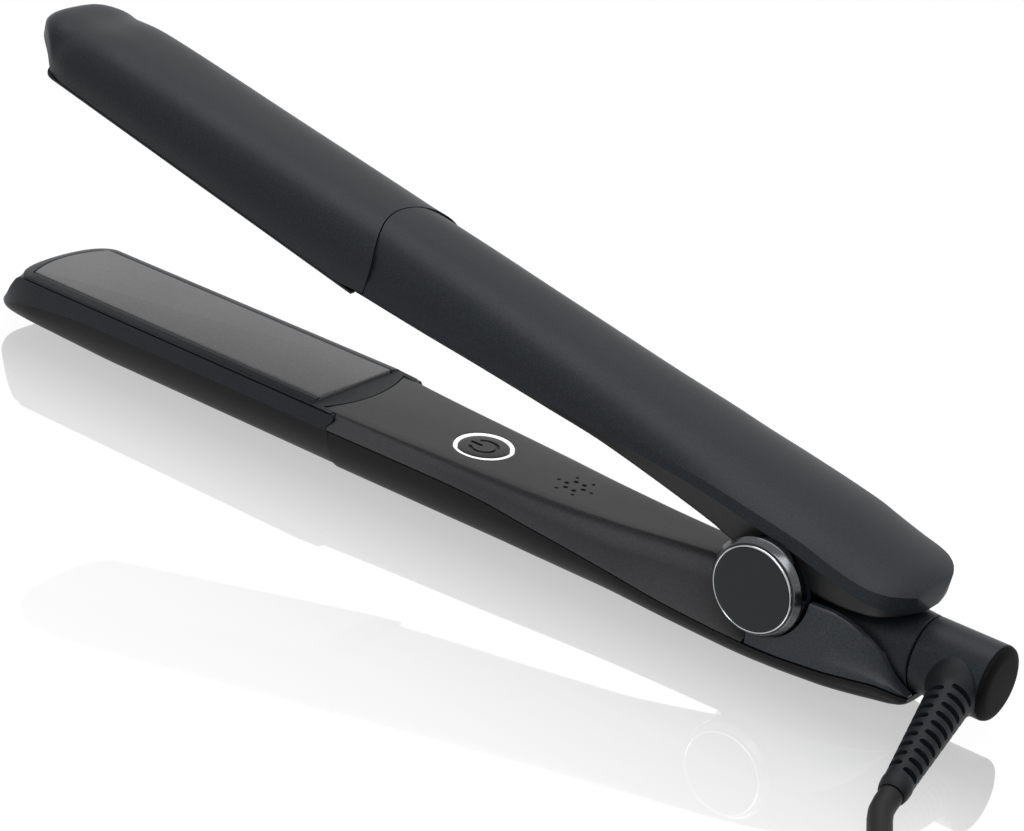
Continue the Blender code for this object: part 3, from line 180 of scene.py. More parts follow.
upper_face = curve(
    (LOWER_SEAM_X, 2.2), (-98.0, 3.2), (-80.0, 4.6), (-63.0, 5.8), (-46.0, 6.8), (-29.0, 6.7), (-16.5, 6.4),
    (-12.0, 5.9), (2.0, 6.0), (13.0, 7.0), (22.0, 9.0), (28.5, 10.9),
)
housing_rim = curve(
    (-14.0, -2.6), (10.0, -3.3), (15.0, -3.1), (19.5, -1.6), (23.0, 0.8), (26.0, 3.6), (28.5, 6.8),
    (30.5, 9.8), (LOWER_TAIL_X, 12.3),
)


@dataclass
class Nose:
    """A heat section's rounded tip: its plan, and how far its rim lies from the plates."""

    tip_x: float
    power: float
    middle_rim: callable
    side_rim: callable
    section: tuple

    def width(self, x):
        if x >= FRONT_START:
            return half_width(x)
        share = (FRONT_START - x) / (FRONT_START - self.tip_x + 0.25)
        return FRONT_HALF_WIDTH * (1 - share**self.power) ** (1 / self.power)

    def stations(self, count):
        length = FRONT_START - self.tip_x
        return [FRONT_START - length * sin(0.5 * pi * i / count) for i in range(count, 0, -1)]


lower_nose_power = curve((LOWER_TIP_X, 2.32), (0.0, 2.32))
lower_nose = Nose(
    LOWER_TIP_X, 2.85,
    curve((LOWER_TIP_X, 12.4), (-234.2, 10.9), (-232.6, 8.0), (-230.0, 4.6), (-226.6, LOWER_FRONT_RIM)),
    curve((LOWER_TIP_X, 12.8), (-233.2, 12.1), (-231.2, 10.9), (-229.0, 9.2), (-226.0, 5.2),
          (-223.0, LOWER_FRONT_RIM)),
    (lower_nose_power, lower_nose_power),
)
upper_nose = Nose(
    UPPER_TIP_X, 1.8,
    curve((UPPER_TIP_X, 7.2), (-231.0, 6.1), (-228.5, 4.6), (-226.0, FRONT_RIM)),
    curve((UPPER_TIP_X, 7.4), (-232.3, 7.1), (-228.0, 6.9), (-225.0, 6.2), (-221.0, FRONT_RIM)),
    (curve((-226.0, 3.0), (-205.0, 2.6)), curve((-226.0, 2.0), (-205.0, 2.6))),
)


# ---- materials
WHITE = (1, 1, 1, 1)


def new_material(name):
    made = bpy.data.materials.new(name)
    made.use_nodes = True
    return made, made.node_tree.nodes, made.node_tree.links


def put(node, **values):
    """Set a node's inputs by name, with _ for each space; returns the node."""
    for socket, value in values.items():
        node.inputs[socket.replace("_", " ")].default_value = value
    return node


def moulded(name, dark, light, roughness, grain=0.12, cell=0.00035, spread=0.06, shine=0.5, **sockets):
    """Moulded or sprayed surface: two close tones in a fine cell pattern, with a matching grain."""
    made, nodes, links = new_material(name)
    shader = put(nodes["Principled BSDF"], Specular_IOR_Level=shine, **sockets)
    place = nodes.new("ShaderNodeTexCoord")
    fine = put(nodes.new("ShaderNodeTexNoise"), Scale=1 / cell, Detail=2.0, Roughness=0.7)
    broad = put(nodes.new("ShaderNodeTexNoise"), Scale=38.0, Detail=3.0)
    for noise in (fine, broad):
        links.new(place.outputs["Object"], noise.inputs["Vector"])
    tones = nodes.new("ShaderNodeValToRGB")
    low, high = tones.color_ramp.elements
    low.position = 0.35
    low.color = (*dark, 1)
    high.position = 0.72
    high.color = (*light, 1)
    links.new(fine.outputs["Fac"], tones.inputs["Fac"])
    links.new(tones.outputs["Color"], shader.inputs["Base Color"])
    worn = put(nodes.new("ShaderNodeMapRange"), To_Min=roughness - spread, To_Max=roughness + spread)
    links.new(broad.outputs["Fac"], worn.inputs["Value"])
    links.new(worn.outputs["Result"], shader.inputs["Roughness"])
    bump = put(nodes.new("ShaderNodeBump"), Strength=grain, Distance=0.00005)
    links.new(fine.outputs["Fac"], bump.inputs["Height"])
    links.new(bump.outputs["Normal"], shader.inputs["Normal"])
    return made


SATIN = moulded("satin_charcoal", (0.0058, 0.0076, 0.0096), (0.017, 0.0212, 0.0262), 0.42, 0.2, shine=0.17)
# Same satin plastic as the body, painted about twice as light: this is a painted highlight on the hinge
# housing.
HOUSING_PAINTED_HIGHLIGHT = moulded("housing_satin_painted_highlight", (0.014, 0.0172, 0.0212), (0.032, 0.038, 0.045), 0.36, 0.2, shine=0.25)
COVER = moulded("cover_satin", (0.019, 0.0192, 0.0215), (0.039, 0.0388, 0.042), 0.46, 0.15, shine=0.4)
# Black plastic of the lower arm's underside; its darkness is partly the plastic and partly painted shade on
# the downward faces.
BLACK_AND_PAINTED_SHADE = moulded("black_satin_and_painted_shade", (0.0035, 0.0035, 0.0042), (0.007, 0.0068, 0.008), 0.42, 0.12, shine=0.14)
INNER = moulded("inner_cover", (0.008, 0.008, 0.009), (0.014, 0.014, 0.015), 0.48, 0.12, shine=0.25)
PLATE = moulded("plate_coating", (0.105, 0.105, 0.109), (0.155, 0.155, 0.16), 0.42, 0.1, Metallic=0.35)
GLOSS = moulded("gloss_cap", (0.0042, 0.0078, 0.0092), (0.0052, 0.0094, 0.011), 0.07, 0.0, spread=0.02,
                shine=0.28)
SMOKED = moulded("smoked_bevel", (0.075, 0.08, 0.083), (0.1, 0.106, 0.11), 0.2, 0.02, spread=0.03,
                 Metallic=1.0)
CHROME = moulded("bright_trim", (0.4, 0.41, 0.42), (0.48, 0.49, 0.5), 0.16, 0.02, spread=0.03, Metallic=1.0)
STEEL = moulded("plain_steel", (0.45, 0.45, 0.46), (0.55, 0.55, 0.56), 0.34, 0.08, Metallic=1.0)
SPRING = moulded("spring_steel", (0.36, 0.37, 0.38), (0.46, 0.47, 0.48), 0.3, 0.08, Metallic=1.0)
CERAMIC = moulded("heater_ceramic", (0.7, 0.68, 0.63), (0.78, 0.76, 0.71), 0.65, 0.2)
ALUMINIUM = moulded("aluminium", (0.55, 0.56, 0.57), (0.64, 0.65, 0.66), 0.4, 0.1, Metallic=1.0)
HEATPROOF = moulded("heatproof", (0.024, 0.024, 0.024), (0.034, 0.034, 0.034), 0.6, 0.2)
BOARD = moulded("board", (0.015, 0.13, 0.05), (0.022, 0.17, 0.065), 0.45, 0.1)
BRASS = moulded("brass", (0.62, 0.44, 0.17), (0.7, 0.5, 0.2), 0.3, 0.05, Metallic=1.0)
ACETAL = moulded("acetal", (0.66, 0.65, 0.62), (0.72, 0.71, 0.68), 0.5, 0.1)
RUBBER = moulded("cord_rubber", (0.006, 0.006, 0.007), (0.012, 0.012, 0.013), 0.55, 0.25, 0.0004, shine=0.2)
END_BLACK = moulded("matte_black", (0.0025, 0.0026, 0.003), (0.005, 0.0052, 0.006), 0.6, 0.12, shine=0.05)
RELIEF = moulded("relief_rubber", (0.0065, 0.007, 0.008), (0.013, 0.0138, 0.0158), 0.5, 0.2, 0.0004,
                 shine=0.15)
NICKEL = moulded("nickel", (0.58, 0.56, 0.52), (0.66, 0.64, 0.6), 0.22, 0.05, Metallic=1.0)
GUIDE = moulded("light_guide", (0.8, 0.82, 0.84), (0.88, 0.9, 0.91), 0.3, 0.05, Emission_Color=WHITE,
                Emission_Strength=0.75)


# ---- mesh tools
def smooth(target, angle=32):
    """Shade a piece smooth, except across edges sharper than the angle."""
    target.data.shade_smooth()
    target.data.set_sharp_from_angle(angle=radians(angle))
    return target


def in_scene(name, data):
    made = bpy.data.objects.new(name, data)
    bpy.context.scene.collection.objects.link(made)
    return made


def piece(name, mesh, matrix, look, body=None, angle=32, looks=()):
    """Turn a bmesh in millimetres into a piece that rides on a body in place of its node."""
    bmesh.ops.recalc_face_normals(mesh, faces=mesh.faces)
    data = bpy.data.meshes.new(name + "_skin")
    mesh.to_mesh(data)
    mesh.free()
    data.transform(matrix @ Matrix.Scale(MM, 4))
    for one in (look, *looks):
        data.materials.append(one)
    made = in_scene(name + "_skin", data)
    if body:
        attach(made, body)
        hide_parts(name)
    return smooth(made, angle)


def skin(rings, closed=False, mesh=None):
    """Join rings of points into a tube with end caps, or into a closed loop."""
    mesh = mesh or bmesh.new()
    loops = [[mesh.verts.new(p) for p in ring] for ring in rings]
    pairs = list(zip(loops, loops[1:]))
    if closed:
        pairs.append((loops[-1], loops[0]))
    for near, far in pairs:
        for i in range(len(near)):
            j = (i + 1) % len(near)
            mesh.faces.new((near[i], near[j], far[j], far[i]))
    if not closed:
        mesh.faces.new(loops[0][::-1])
        mesh.faces.new(loops[-1])
    return mesh


def on_axis(axis, along, radius, angle):
    c, s = radius * cos(angle), radius * sin(angle)
    return {"X": (along, c, s), "Y": (s, along, c), "Z": (c, s, along)}[axis]


def circle(axis, along, radius, count, centre=(0, 0, 0)):
    return [Vector(on_axis(axis, along, radius, 2 * pi * i / count)) + Vector(centre) for i in range(count)]


def turned(axis, profile, count=96, centre=(0, 0, 0), closed=False, mesh=None):
    """A solid of revolution from a profile of (along, radius) points."""
    return skin([circle(axis, a, r, count, centre) for a, r in profile], closed, mesh)


def rounded(profile, radius, steps=4):
    """Round the corners of an open (along, radius) profile."""
    made = [profile[0]]
    for a, b, c in zip(profile, profile[1:], profile[2:]):
        p, q, r = Vector(a), Vector(b), Vector(c)
        reach = min(radius, 0.45 * (p - q).length, 0.45 * (r - q).length)
        start, end = q + (p - q).normalized() * reach, q + (r - q).normalized() * reach
        for i in range(steps + 1):
            t = i / steps
            made.append(tuple(start * (1 - t) ** 2 + q * 2 * t * (1 - t) + end * t * t))
    return made + [profile[-1]]


LEAST_LEFT = 0.3  # a cut that leaves a smaller share of the faces has failed


def boolean(target, tool, operation="DIFFERENCE"):
    """Apply a Boolean to a piece at once and drop the tool."""
    before = len(target.data.polygons)
    for solver in ("MANIFOLD", "EXACT"):
        change = target.modifiers.new("cut", "BOOLEAN")
        change.operation = operation
        change.solver = solver
        change.object = tool
        bpy.context.view_layer.update()
        graph = bpy.context.evaluated_depsgraph_get()
        cut = bpy.data.meshes.new_from_object(target.evaluated_get(graph))
        target.modifiers.clear()
        if len(cut.polygons) > LEAST_LEFT * before:
            break
        print("boolean", solver, "failed on", target.name)
        bpy.data.meshes.remove(cut)
    old = target.data
    target.data = cut
    bpy.data.meshes.remove(old)
    bpy.data.objects.remove(tool)


def cutter(mesh, matrix):
    return piece("cutter", mesh, matrix, SATIN)


def lofted(rings, matrix):
    return cutter(skin(rings), matrix)


def at_depth(arm, depth, outline):
    return [(x, y, arm.z(depth)) for x, y in outline]


@dataclass
class Arm:
    """One arm's outline: its frame, its body, and the way its depth runs."""

    side: int
    matrix: Matrix
    body: str
    depth: callable
    rim: callable
    seam_x: float
    bow: float
    nose: Nose
    front_rim: float

    def z(self, depth):
        return PLATE_PLANE + self.side * depth


LOWER_ARM = Arm(-1, LOWER, "lower_arm", lower_depth, lower_rim, LOWER_SEAM_X, 0.0, lower_nose,
                LOWER_FRONT_RIM)
UPPER_ARM = Arm(1, UPPER, "upper_arm", upper_depth, upper_rim, UPPER_SEAM_X, UPPER_SEAM_BOW, upper_nose,
                FRONT_RIM)


def arch(arm, x, width, rim, depth, powers, wall=0.0, count=48, flat=0.0, lean=0.0, ledge=0.0, cut=0.0):
    """A U-shaped section: a wall from the rim, which may lean in, then an arch to the crown.

    The cut angle is left off the arch's start, so that it meets the wall in a crisp edge.
    """
    steps = (0.0, 0.5, 1.0) if ledge else (0.0, 0.5)
    points = [(x, width - lean * t, arm.z(rim + wall * t)) for t in steps] if wall > 0 else []
    spring = rim + wall
    base = width
    width = base - lean - ledge
    reach = cos(cut) ** (2 / powers[0])
    start = sin(cut) ** (2 / powers[1]) if cut else 0.0
    for i in range(count + 1):
        angle = cut + (pi - 2 * cut) * i / count
        c, s = cos(angle), max(sin(angle), 0.0)
        y = copysign(width * abs(c) ** (2 / powers[0]) / reach, c)
        d = spring + (depth - spring) * (s ** (2 / powers[1]) - start) / (1 - start)
        points.append((x, y, arm.z(min(d, depth - flat))))
    if wall > 0:
        points += [(x, -base + lean * t, arm.z(rim + wall * t)) for t in reversed(steps)]
    return points


def seam_prism(arm, gap, far_x, count=40):
    """Cuts an arm along its side seam, from there to far_x."""
    reach = FRONT_HALF_WIDTH + 3
    rings = []
    for depth in (ABOVE_ARM, BELOW_ARM) if arm.bow else SEAM_LEVELS:
        shift = 0.0 if arm.bow else seam_shift(depth)
        line = [(arm.seam_x + gap + shift + arm.bow * (y / FRONT_HALF_WIDTH) ** 2, y)
                for y in spaced(-reach, reach, count)]
        outline = line + [(far_x, reach), (far_x, -reach)]
        rings.append(at_depth(arm, depth, outline))
    return lofted(rings, arm.matrix)


# ---- heat sections
FRAME_TIP_X = -225.8
FRAME_END_X = -118.4
FRAME_TOP = 0.5
FRAME_HALF_WIDTH = 15.7
FRAME_SKIRT = 5.2
SKIRT_INSET = -1.5
PLATE_TIP_X = -222.8
PLATE_END_X = -124.5
PLATE_HALF_WIDTH = 12.6
FLAT_DROP = 0.08
DECK_POINTS = 11
DECK_POWER = 2.6
ARCH_POINTS = 56
ABOVE_ARM = -3.0
BELOW_ARM = 26.0
SWING_START = 1.5
SWING_END = 6.3
SEAM_SWING = 0.8
SEAM_LEVELS = (ABOVE_ARM, *spaced(SWING_START, SWING_END, 12), BELOW_ARM)
ARC_X = -118.7
ARC_BOW = 3.0
ARC_HALF_WIDTH = 14.2
COVER_GAP = 0.22


def front_ring(arm, x):
    """A heat section's outline: its arched shell, closed by a deck on the plate's side."""
    nose = arm.nose
    lower = arm.side < 0
    lean = min(0.5, 0.04 * (x - nose.tip_x))
    side = arm.rim(x) + 0.5 if x > arm.seam_x and not lower else nose.side_rim(x)
    wall = max(0.15, lower_crease(x) - side) if lower else min(3.6, 0.5 * (arm.depth(x) - side))
    base = nose.width(x) - lean
    powers = [power(x) for power in nose.section]
    section = arch(arm, x, base, side, arm.depth(x), powers, wall=wall, lean=-lean,
                   flat=FLAT_DROP if lower else 0.0, count=ARCH_POINTS, ledge=0.18 if lower else 0.0)
    centre = nose.middle_rim(x)
    deck = []
    for i in range(1, DECK_POINTS + 1):
        share = -1 + 2 * i / (DECK_POINTS + 1)
        deck.append((x, share * base, arm.z(side + (centre - side) * (1 - abs(share) ** DECK_POWER))))
    return section + deck


def paint(mesh, ring_size, first, last, slot):
    """Give the faces between two columns of a lofted skin another look."""
    mesh.faces.index_update()
    for face in mesh.faces:
        if len(face.verts) == 4 and first <= face.index % ring_size < last:
            face.material_index = slot


def seam_shift(depth):
    """How far the side seam swings from its straight line at a depth."""
    share = min(1.0, max(0.0, (depth - SWING_START) / (SWING_END - SWING_START)))
    return SEAM_SWING * sin(2 * pi * share)


def seam_arc(reach):
    """The line where the heat section's ramp meets the handle's face."""
    return [(ARC_X - ARC_BOW * (y / ARC_HALF_WIDTH) ** 2, y) for y in spaced(-reach, reach, 24)]


def cover_front(arm, swing=1.0):
    """Cuts a handle cover along the arc on its face and the seam on its side."""
    arc = [(x + COVER_GAP, y) for x, y in seam_arc(ARC_HALF_WIDTH)]
    corner = ARC_HALF_WIDTH + 0.2
    reach = 20
    far_x = -130
    rings = []
    for depth in SEAM_LEVELS:
        side = LOWER_SEAM_X + COVER_GAP + swing * seam_shift(depth)
        outline = [(far_x, -reach), (side, -reach), (side, -corner), *arc, (side, corner), (side, reach),
                   (far_x, reach)]
        rings.append(at_depth(arm, depth, outline))
    return lofted(rings, arm.matrix)


def frame_ramp(arm):
    """The drop at the plate's handle end, and the ramp from there to the arc."""
    reach = 18.0
    profile = [(-124.4, ABOVE_ARM), (-124.4, 0.7), (-124.2, 1.05), (-123.9, 1.15), (-117.0, 1.55),
               (-117.0, ABOVE_ARM)]
    return lofted([[(x, y, arm.z(d)) for x, d in profile] for y in (-reach, reach)], arm.matrix)


def frame_arc(arm):
    """Cuts the plate frame's handle end to the arc."""
    half = ARC_HALF_WIDTH + 0.1
    outline = [*seam_arc(half), (-110, half), (-110, -half)]
    return lofted([at_depth(arm, depth, outline) for depth in (ABOVE_ARM, 9.0)], arm.matrix)


def front_shell(name, arm):
    stations = arm.nose.stations(20) + spaced(FRONT_START, arm.seam_x, 30)
    stations.append(arm.seam_x + arm.bow + 1.5)
    rings = [front_ring(arm, x) for x in stations]
    mesh = skin(rings)
    if not arm.bow:
        # The underside below the crease takes the black look, partly black plastic and partly painted shade.
        paint(mesh, len(rings[0]), 2, ARCH_POINTS + 4, 1)
    shell = piece(name, mesh, arm.matrix, SATIN, arm.body, looks=(BLACK_AND_PAINTED_SHADE,))
    tip_run = 12.0
    tip_power = 2.4
    inner_start = FRAME_TIP_X + 1.2 * WALL + tip_run
    near = [inner_start - tip_run * sin(0.5 * pi * i / 8) for i in range(8, 0, -1)]
    cavity = []
    for x in near + spaced(inner_start, arm.seam_x + arm.bow + 3, 10):
        share = max(0.0, (inner_start - x) / (tip_run + GAP))
        width = (FRONT_HALF_WIDTH - WALL) * (1 - share**tip_power) ** (1 / tip_power)
        depth = min(arm.depth(x), arm.depth(x + 4)) - WALL
        cavity.append(arch(arm, x, width, arm.front_rim - 8, depth, (2.6, 2.6), wall=8.0, count=24))
    boolean(shell, lofted(cavity, arm.matrix))
    pocket = [(arm.front_rim - 6.0, SKIRT_INSET + GAP), (FRAME_SKIRT + GAP, SKIRT_INSET + GAP)]
    boolean(shell, lofted(outline_stack(arm, pocket, frame_outline), arm.matrix))
    boolean(shell, seam_prism(arm, 0.0, arm.seam_x + 40))
    smooth(shell)


def plate_outline(offset, count=24):
    half = PLATE_HALF_WIDTH + offset
    points = [(PLATE_END_X + offset, -half), (PLATE_END_X + offset, half)]
    for i in range(count + 1):
        y = half * (1 - 2 * i / count)
        points.append((PLATE_TIP_X - offset + 2.8 * (y / half) ** 2, y))
    return points


def frame_outline(offset, count=48):
    half = FRAME_HALF_WIDTH + offset
    tip = FRAME_TIP_X - offset
    points = [(FRAME_END_X + min(offset, 0), -half), (FRAME_END_X + min(offset, 0), half)]
    for i in range(count + 1):
        share = cos(pi * i / count)
        corner = 1 - sqrt(1 - abs(share) ** 5)
        points.append((tip + 2.4 * share**2 + 4.0 * corner, half * share))
    return points


def outline_stack(arm, levels, outline):
    return [at_depth(arm, depth, outline(offset)) for depth, offset in levels]


def plate_frame(name, arm):
    base = arm.front_rim - GAP
    face = rounded([(base, 0.0), (base - 0.5, 0.0), (FRAME_TOP, -2.0), (FRAME_TOP, -2.3)], 0.35)
    levels = [(FRAME_SKIRT, SKIRT_INSET), (base, SKIRT_INSET), *face]
    mesh = skin(outline_stack(arm, levels, frame_outline))
    made = piece(name, mesh, arm.matrix, SATIN, arm.body)
    window = [(-2.0, GAP), (FRAME_SKIRT + 2, GAP)]
    boolean(made, lofted(outline_stack(arm, window, plate_outline), arm.matrix))
    boolean(made, frame_ramp(arm))
    boolean(made, frame_arc(arm))
    smooth(made, 25)


def plate(name, arm, body):
    levels = [(3.2, 0.0), *rounded([(0.75, 0.0), (0.3, -0.1), (0.2, -0.6)], 0.3)]
    mesh = skin(outline_stack(arm, levels, plate_outline))
    piece(name, mesh, arm.matrix, PLATE, body, angle=50)


# ---- handles
def cover_ring(arm, x, width, rim, flat, face, inset=0.0):
    """Level face, soft crease, and a band that slopes down to the rim."""
    width -= inset
    flat = max(flat - 0.7 * inset, 1.0)
    face += inset
    fall = min(3.4, 0.5 * (rim - face))
    run = min(2.6, 0.42 * (width - flat))
    half = [(width, rim), (flat + run, face + fall), (flat + 0.3 * run, face + 0.3 * fall),
            (flat - 0.6, face + 0.1), (flat - 2.6, face), (0.0, face)]
    half = rounded(half, 1.7, 6)[:-1] if not inset else half[:-1]
    left = [(-y, d) for y, d in reversed(half)]
    return [(x, y, arm.z(d)) for y, d in half + left]


BUTTON_X = -85.5
BUTTON_RADIUS = 6.3
LIGHT_RADIUS = 7.05
COVER_WALL = 1.6
BUZZER_X = -59.5
CHANNEL_RADIUS = 11.35
KNUCKLE_RADIUS = 6.3
KNUCKLE_INNER_Y = 7.4
KNUCKLE_OUTER_Y = 13.1
PIN_BORE = 2.8
BUSH_BORE = 4.5
EAR_RADIUS = 10.2
EAR_INNER_Y = 13.5
EAR_OUTER_Y = 16.14
HOUSING_X = -2.0
HOUSING_WALL = 2.0
HOUSING_SWELL = 1.3
COLLAR_START_X = 9.6
COLLAR_END_X = 31.3
COLLAR_RADIUS = 9.8
BARREL_RADIUS = 8.2
BARREL_END_X = 49.0


def ear_cuts():
    """Both sides' round cuts for the ears, as one tool."""
    mesh = bmesh.new()
    for sign in (-1, 1):
        turned("Y", [(sign * 13.2, CHANNEL_RADIUS), (sign * 25.0, CHANNEL_RADIUS)], 96, mesh=mesh)
    return cutter(mesh, LOWER)


def box(low, high, matrix):
    return lofted([[(x, low[1], low[2]), (x, high[1], low[2]), (x, high[1], high[2]), (x, low[1], high[2])]
                   for x in (low[0], high[0])], matrix)


def crossways(radius, matrix, reach=20):
    """A round bar across the arms at the hinge, to bore them."""
    return cutter(turned("Y", [(-reach, radius), (reach, radius)], 48), matrix)


def lower_cover(arm):
    def ring(x, deeper=0.0, inset=0.0):
        rim = arm.rim(x) - GAP + deeper
        return cover_ring(arm, x, half_width(x), rim, flat_half(x), lower_face(x), inset)

    mesh = skin([ring(x) for x in spaced(LOWER_SEAM_X - 4.6, HOUSING_X - GAP, 62)])
    cover = piece("lower_inner_cover", mesh, arm.matrix, COVER, arm.body)
    holes = bmesh.new()
    for away, radius in ((2.3, 0.6), (4.5, 0.45)):
        for i in range(6):
            angle = pi * i / 3
            centre = (BUZZER_X + away * cos(angle), away * sin(angle), 0)
            turned("Z", [(-9.0, radius), (0.0, radius)], 24, centre, mesh=holes)
    turned("Z", [(-12.0, LIGHT_RADIUS + GAP), (2.0, LIGHT_RADIUS + GAP)], 96, (BUTTON_X, 0, 0), mesh=holes)
    boolean(cover, cutter(holes, arm.matrix))
    boolean(cover, cover_front(arm))
    boolean(cover, ear_cuts())
    inside = spaced(LOWER_SEAM_X + COVER_WALL, HOUSING_X + 5, 14)
    boolean(cover, lofted([ring(x, 6, COVER_WALL) for x in inside], arm.matrix))
    boolean(cover, box((-CHANNEL_RADIUS - 0.8, -KNUCKLE_OUTER_Y - 0.4, -5.0),
                       (2.0, KNUCKLE_OUTER_Y + 0.4, 6.0), arm.matrix))
    smooth(cover, 28)


def lower_handle(arm):
    def ring(x, inset, rim_offset, wall, count):
        width = half_width(x) - inset
        depth = arm.depth(x) + FLAT_DROP - inset
        power = lower_power(x)
        flat = 0.0 if inset or x > 0 else FLAT_DROP
        drop = FLAT_DROP if x > 0 else 0.0
        return arch(arm, x, width, arm.rim(x) + rim_offset, depth - drop, (power, power), wall=wall,
                    flat=flat, count=count)

    stations = spaced(LOWER_SEAM_X + GAP, 0.0, 36) + spaced(1.8, 30.6, 16) + spaced(31.0, LOWER_TAIL_X, 6)
    mesh = skin([ring(x, 0.0, 0.0, 0.6, 56) for x in stations])
    # The lower handle's underside is black plastic with painted shade.
    shell = piece("lower_handle_shell", mesh, arm.matrix, BLACK_AND_PAINTED_SHADE, arm.body)
    boolean(shell, barrel_room())
    inner = [ring(x, WALL if x < 10 else 0.9, -6.0, 6.6, 24)
             for x in spaced(LOWER_SEAM_X, 0.0, 9) + spaced(4.0, LOWER_TAIL_X - 2.4, 6)]
    boolean(shell, lofted(inner, arm.matrix))
    smooth(shell)


def barrel_room():
    """The room for the collar and the barrel, to cut from the tail's pieces."""
    mesh = turned("X", [(COLLAR_START_X - GAP, COLLAR_RADIUS + GAP), (COLLAR_END_X, BARREL_RADIUS + GAP),
                        (COLLAR_END_X + 5, BARREL_RADIUS + GAP)], 96, (0, 0, SWIVEL_Z))
    return cutter(mesh, LOWER)


def hinge_housing(arm):
    def ring(x, inset, top, bottom):
        width = half_width(x) - inset
        if inset:
            return [(x, width, arm.z(bottom)), (x, width, arm.z(top)), (x, -width, arm.z(top)),
                    (x, -width, arm.z(bottom))]
        height = max(0.4, bottom - top)
        side = [(width - 0.25 * HOUSING_SWELL, 0.0)]
        for i in range(1, 10):
            t = i / 9
            swell = HOUSING_SWELL * (sin(pi * (0.15 + 0.62 * t)) - 1)
            side.append((width + swell, 0.97 * height * t))
        side.append((side[-1][0] - 0.35, height))
        half = [(x, y, arm.z(bottom - up)) for y, up in side]
        return half + [(x, -y, z) for x, y, z in reversed(half)]

    stations = spaced(HOUSING_X + GAP, LOWER_TAIL_X, 48)
    mesh = skin([ring(x, 0.0, housing_rim(x), arm.rim(x) - GAP) for x in stations])
    # The housing wears the lighter satin, a painted highlight.
    made = piece("hinge_housing", mesh, arm.matrix, HOUSING_PAINTED_HIGHLIGHT, arm.body)
    inside = spaced(-6, LOWER_TAIL_X + 2, 24)
    for top, bottom in ((-20.0, 4.0), (6.0, 20.0)):
        boolean(made, lofted([ring(x, HOUSING_WALL, top, bottom) for x in inside], arm.matrix))
    boolean(made, ear_cuts())
    boolean(made, barrel_room())
    for sign in (-1, 1):
        y0, y1 = sorted((sign * KNUCKLE_INNER_Y, sign * KNUCKLE_OUTER_Y))
        foot = box((-KNUCKLE_RADIUS, y0, arm.z(6.0)), (KNUCKLE_RADIUS, y1, 0.0), arm.matrix)
        boolean(made, foot, "UNION")
        barrel = turned("Y", [(y0, KNUCKLE_RADIUS), (y1, KNUCKLE_RADIUS)], 48)
        boolean(made, cutter(barrel, arm.matrix), "UNION")
    boolean(made, crossways(PIN_BORE, arm.matrix))
    smooth(made)


def upper_handle(arm):
    def ring(x, inset, wall, rim_offset, count):
        width = tail_width(min(x, UPPER_TAIL_X)) - inset
        return arch(arm, x, width, arm.rim(x) + rim_offset, arm.depth(x) - inset,
                    [power(x) for power in crown_power], wall=wall, lean=shoulder_lean(x),
                    count=count, cut=0.0 if inset else crown_cut(x))

    tail = [8.0, 11.0, 14.0, 16.5, 19.0, 20.5, 22.0, 23.5, 25.0, 26.2, 27.2, 27.8, 28.2, 28.5, 28.8,
            29.2, UPPER_TAIL_X]
    mesh = skin([ring(x, 0.0, shoulder(x), 0.0, 60) for x in spaced(UPPER_SEAM_X, 5.0, 44) + tail])
    shell = piece("upper_handle_shell", mesh, arm.matrix, SATIN, arm.body)
    inside = spaced(UPPER_SEAM_X - 1, -4.0, 9) + [8.0, 14.0, 18.0, 21.0, 23.4]
    boolean(shell, lofted([ring(x, WALL, 8.0, shoulder(x) - 8.0, 24) for x in inside], arm.matrix))
    boolean(shell, seam_prism(arm, GAP, arm.seam_x - 40))
    smooth(shell, 28)


def upper_cover(arm):
    def side(x):
        return tail_width(x + 0.9) - 0.5 - max(0.0, min(0.6, (x - 5) / 10))

    def ring(x, inset=0.0):
        rim = arm.rim(x) - GAP
        flat = min(upper_flat(x), side(x) - 0.9)
        return cover_ring(arm, x, side(x), rim + (6 if inset else 0), flat,
                          min(upper_face(x), rim - 0.9), inset)

    tail = [1.0, 4.0, 7.0, 10.0, 13.0, 16.0, 18.0, 20.0, 21.8, 23.5, 24.8, 26.0, 26.8, 27.4, 27.8]
    mesh = skin([ring(x) for x in spaced(LOWER_SEAM_X - 4.6, -2.0, 52) + tail])
    cover = piece("upper_inner_cover", mesh, arm.matrix, INNER, arm.body)
    boolean(cover, cover_front(arm, 0.0))
    inside = spaced(LOWER_SEAM_X + COVER_WALL, -4.0, 12) + [4.0, 10.0, 16.0, 20.0, 22.0]
    boolean(cover, lofted([ring(x, COVER_WALL) for x in inside], arm.matrix))
    for sign in (-1, 1):
        boolean(cover, ear(sign), "UNION")
    boolean(cover, crossways(BUSH_BORE, arm.matrix))
    smooth(cover, 28)


def ear(sign):
    """Round boss that carries the upper arm on the pin, hidden by the cap."""
    profile = [(sign * EAR_INNER_Y, EAR_RADIUS), (sign * EAR_OUTER_Y, EAR_RADIUS)]
    return cutter(turned("Y", profile, 96), UPPER)


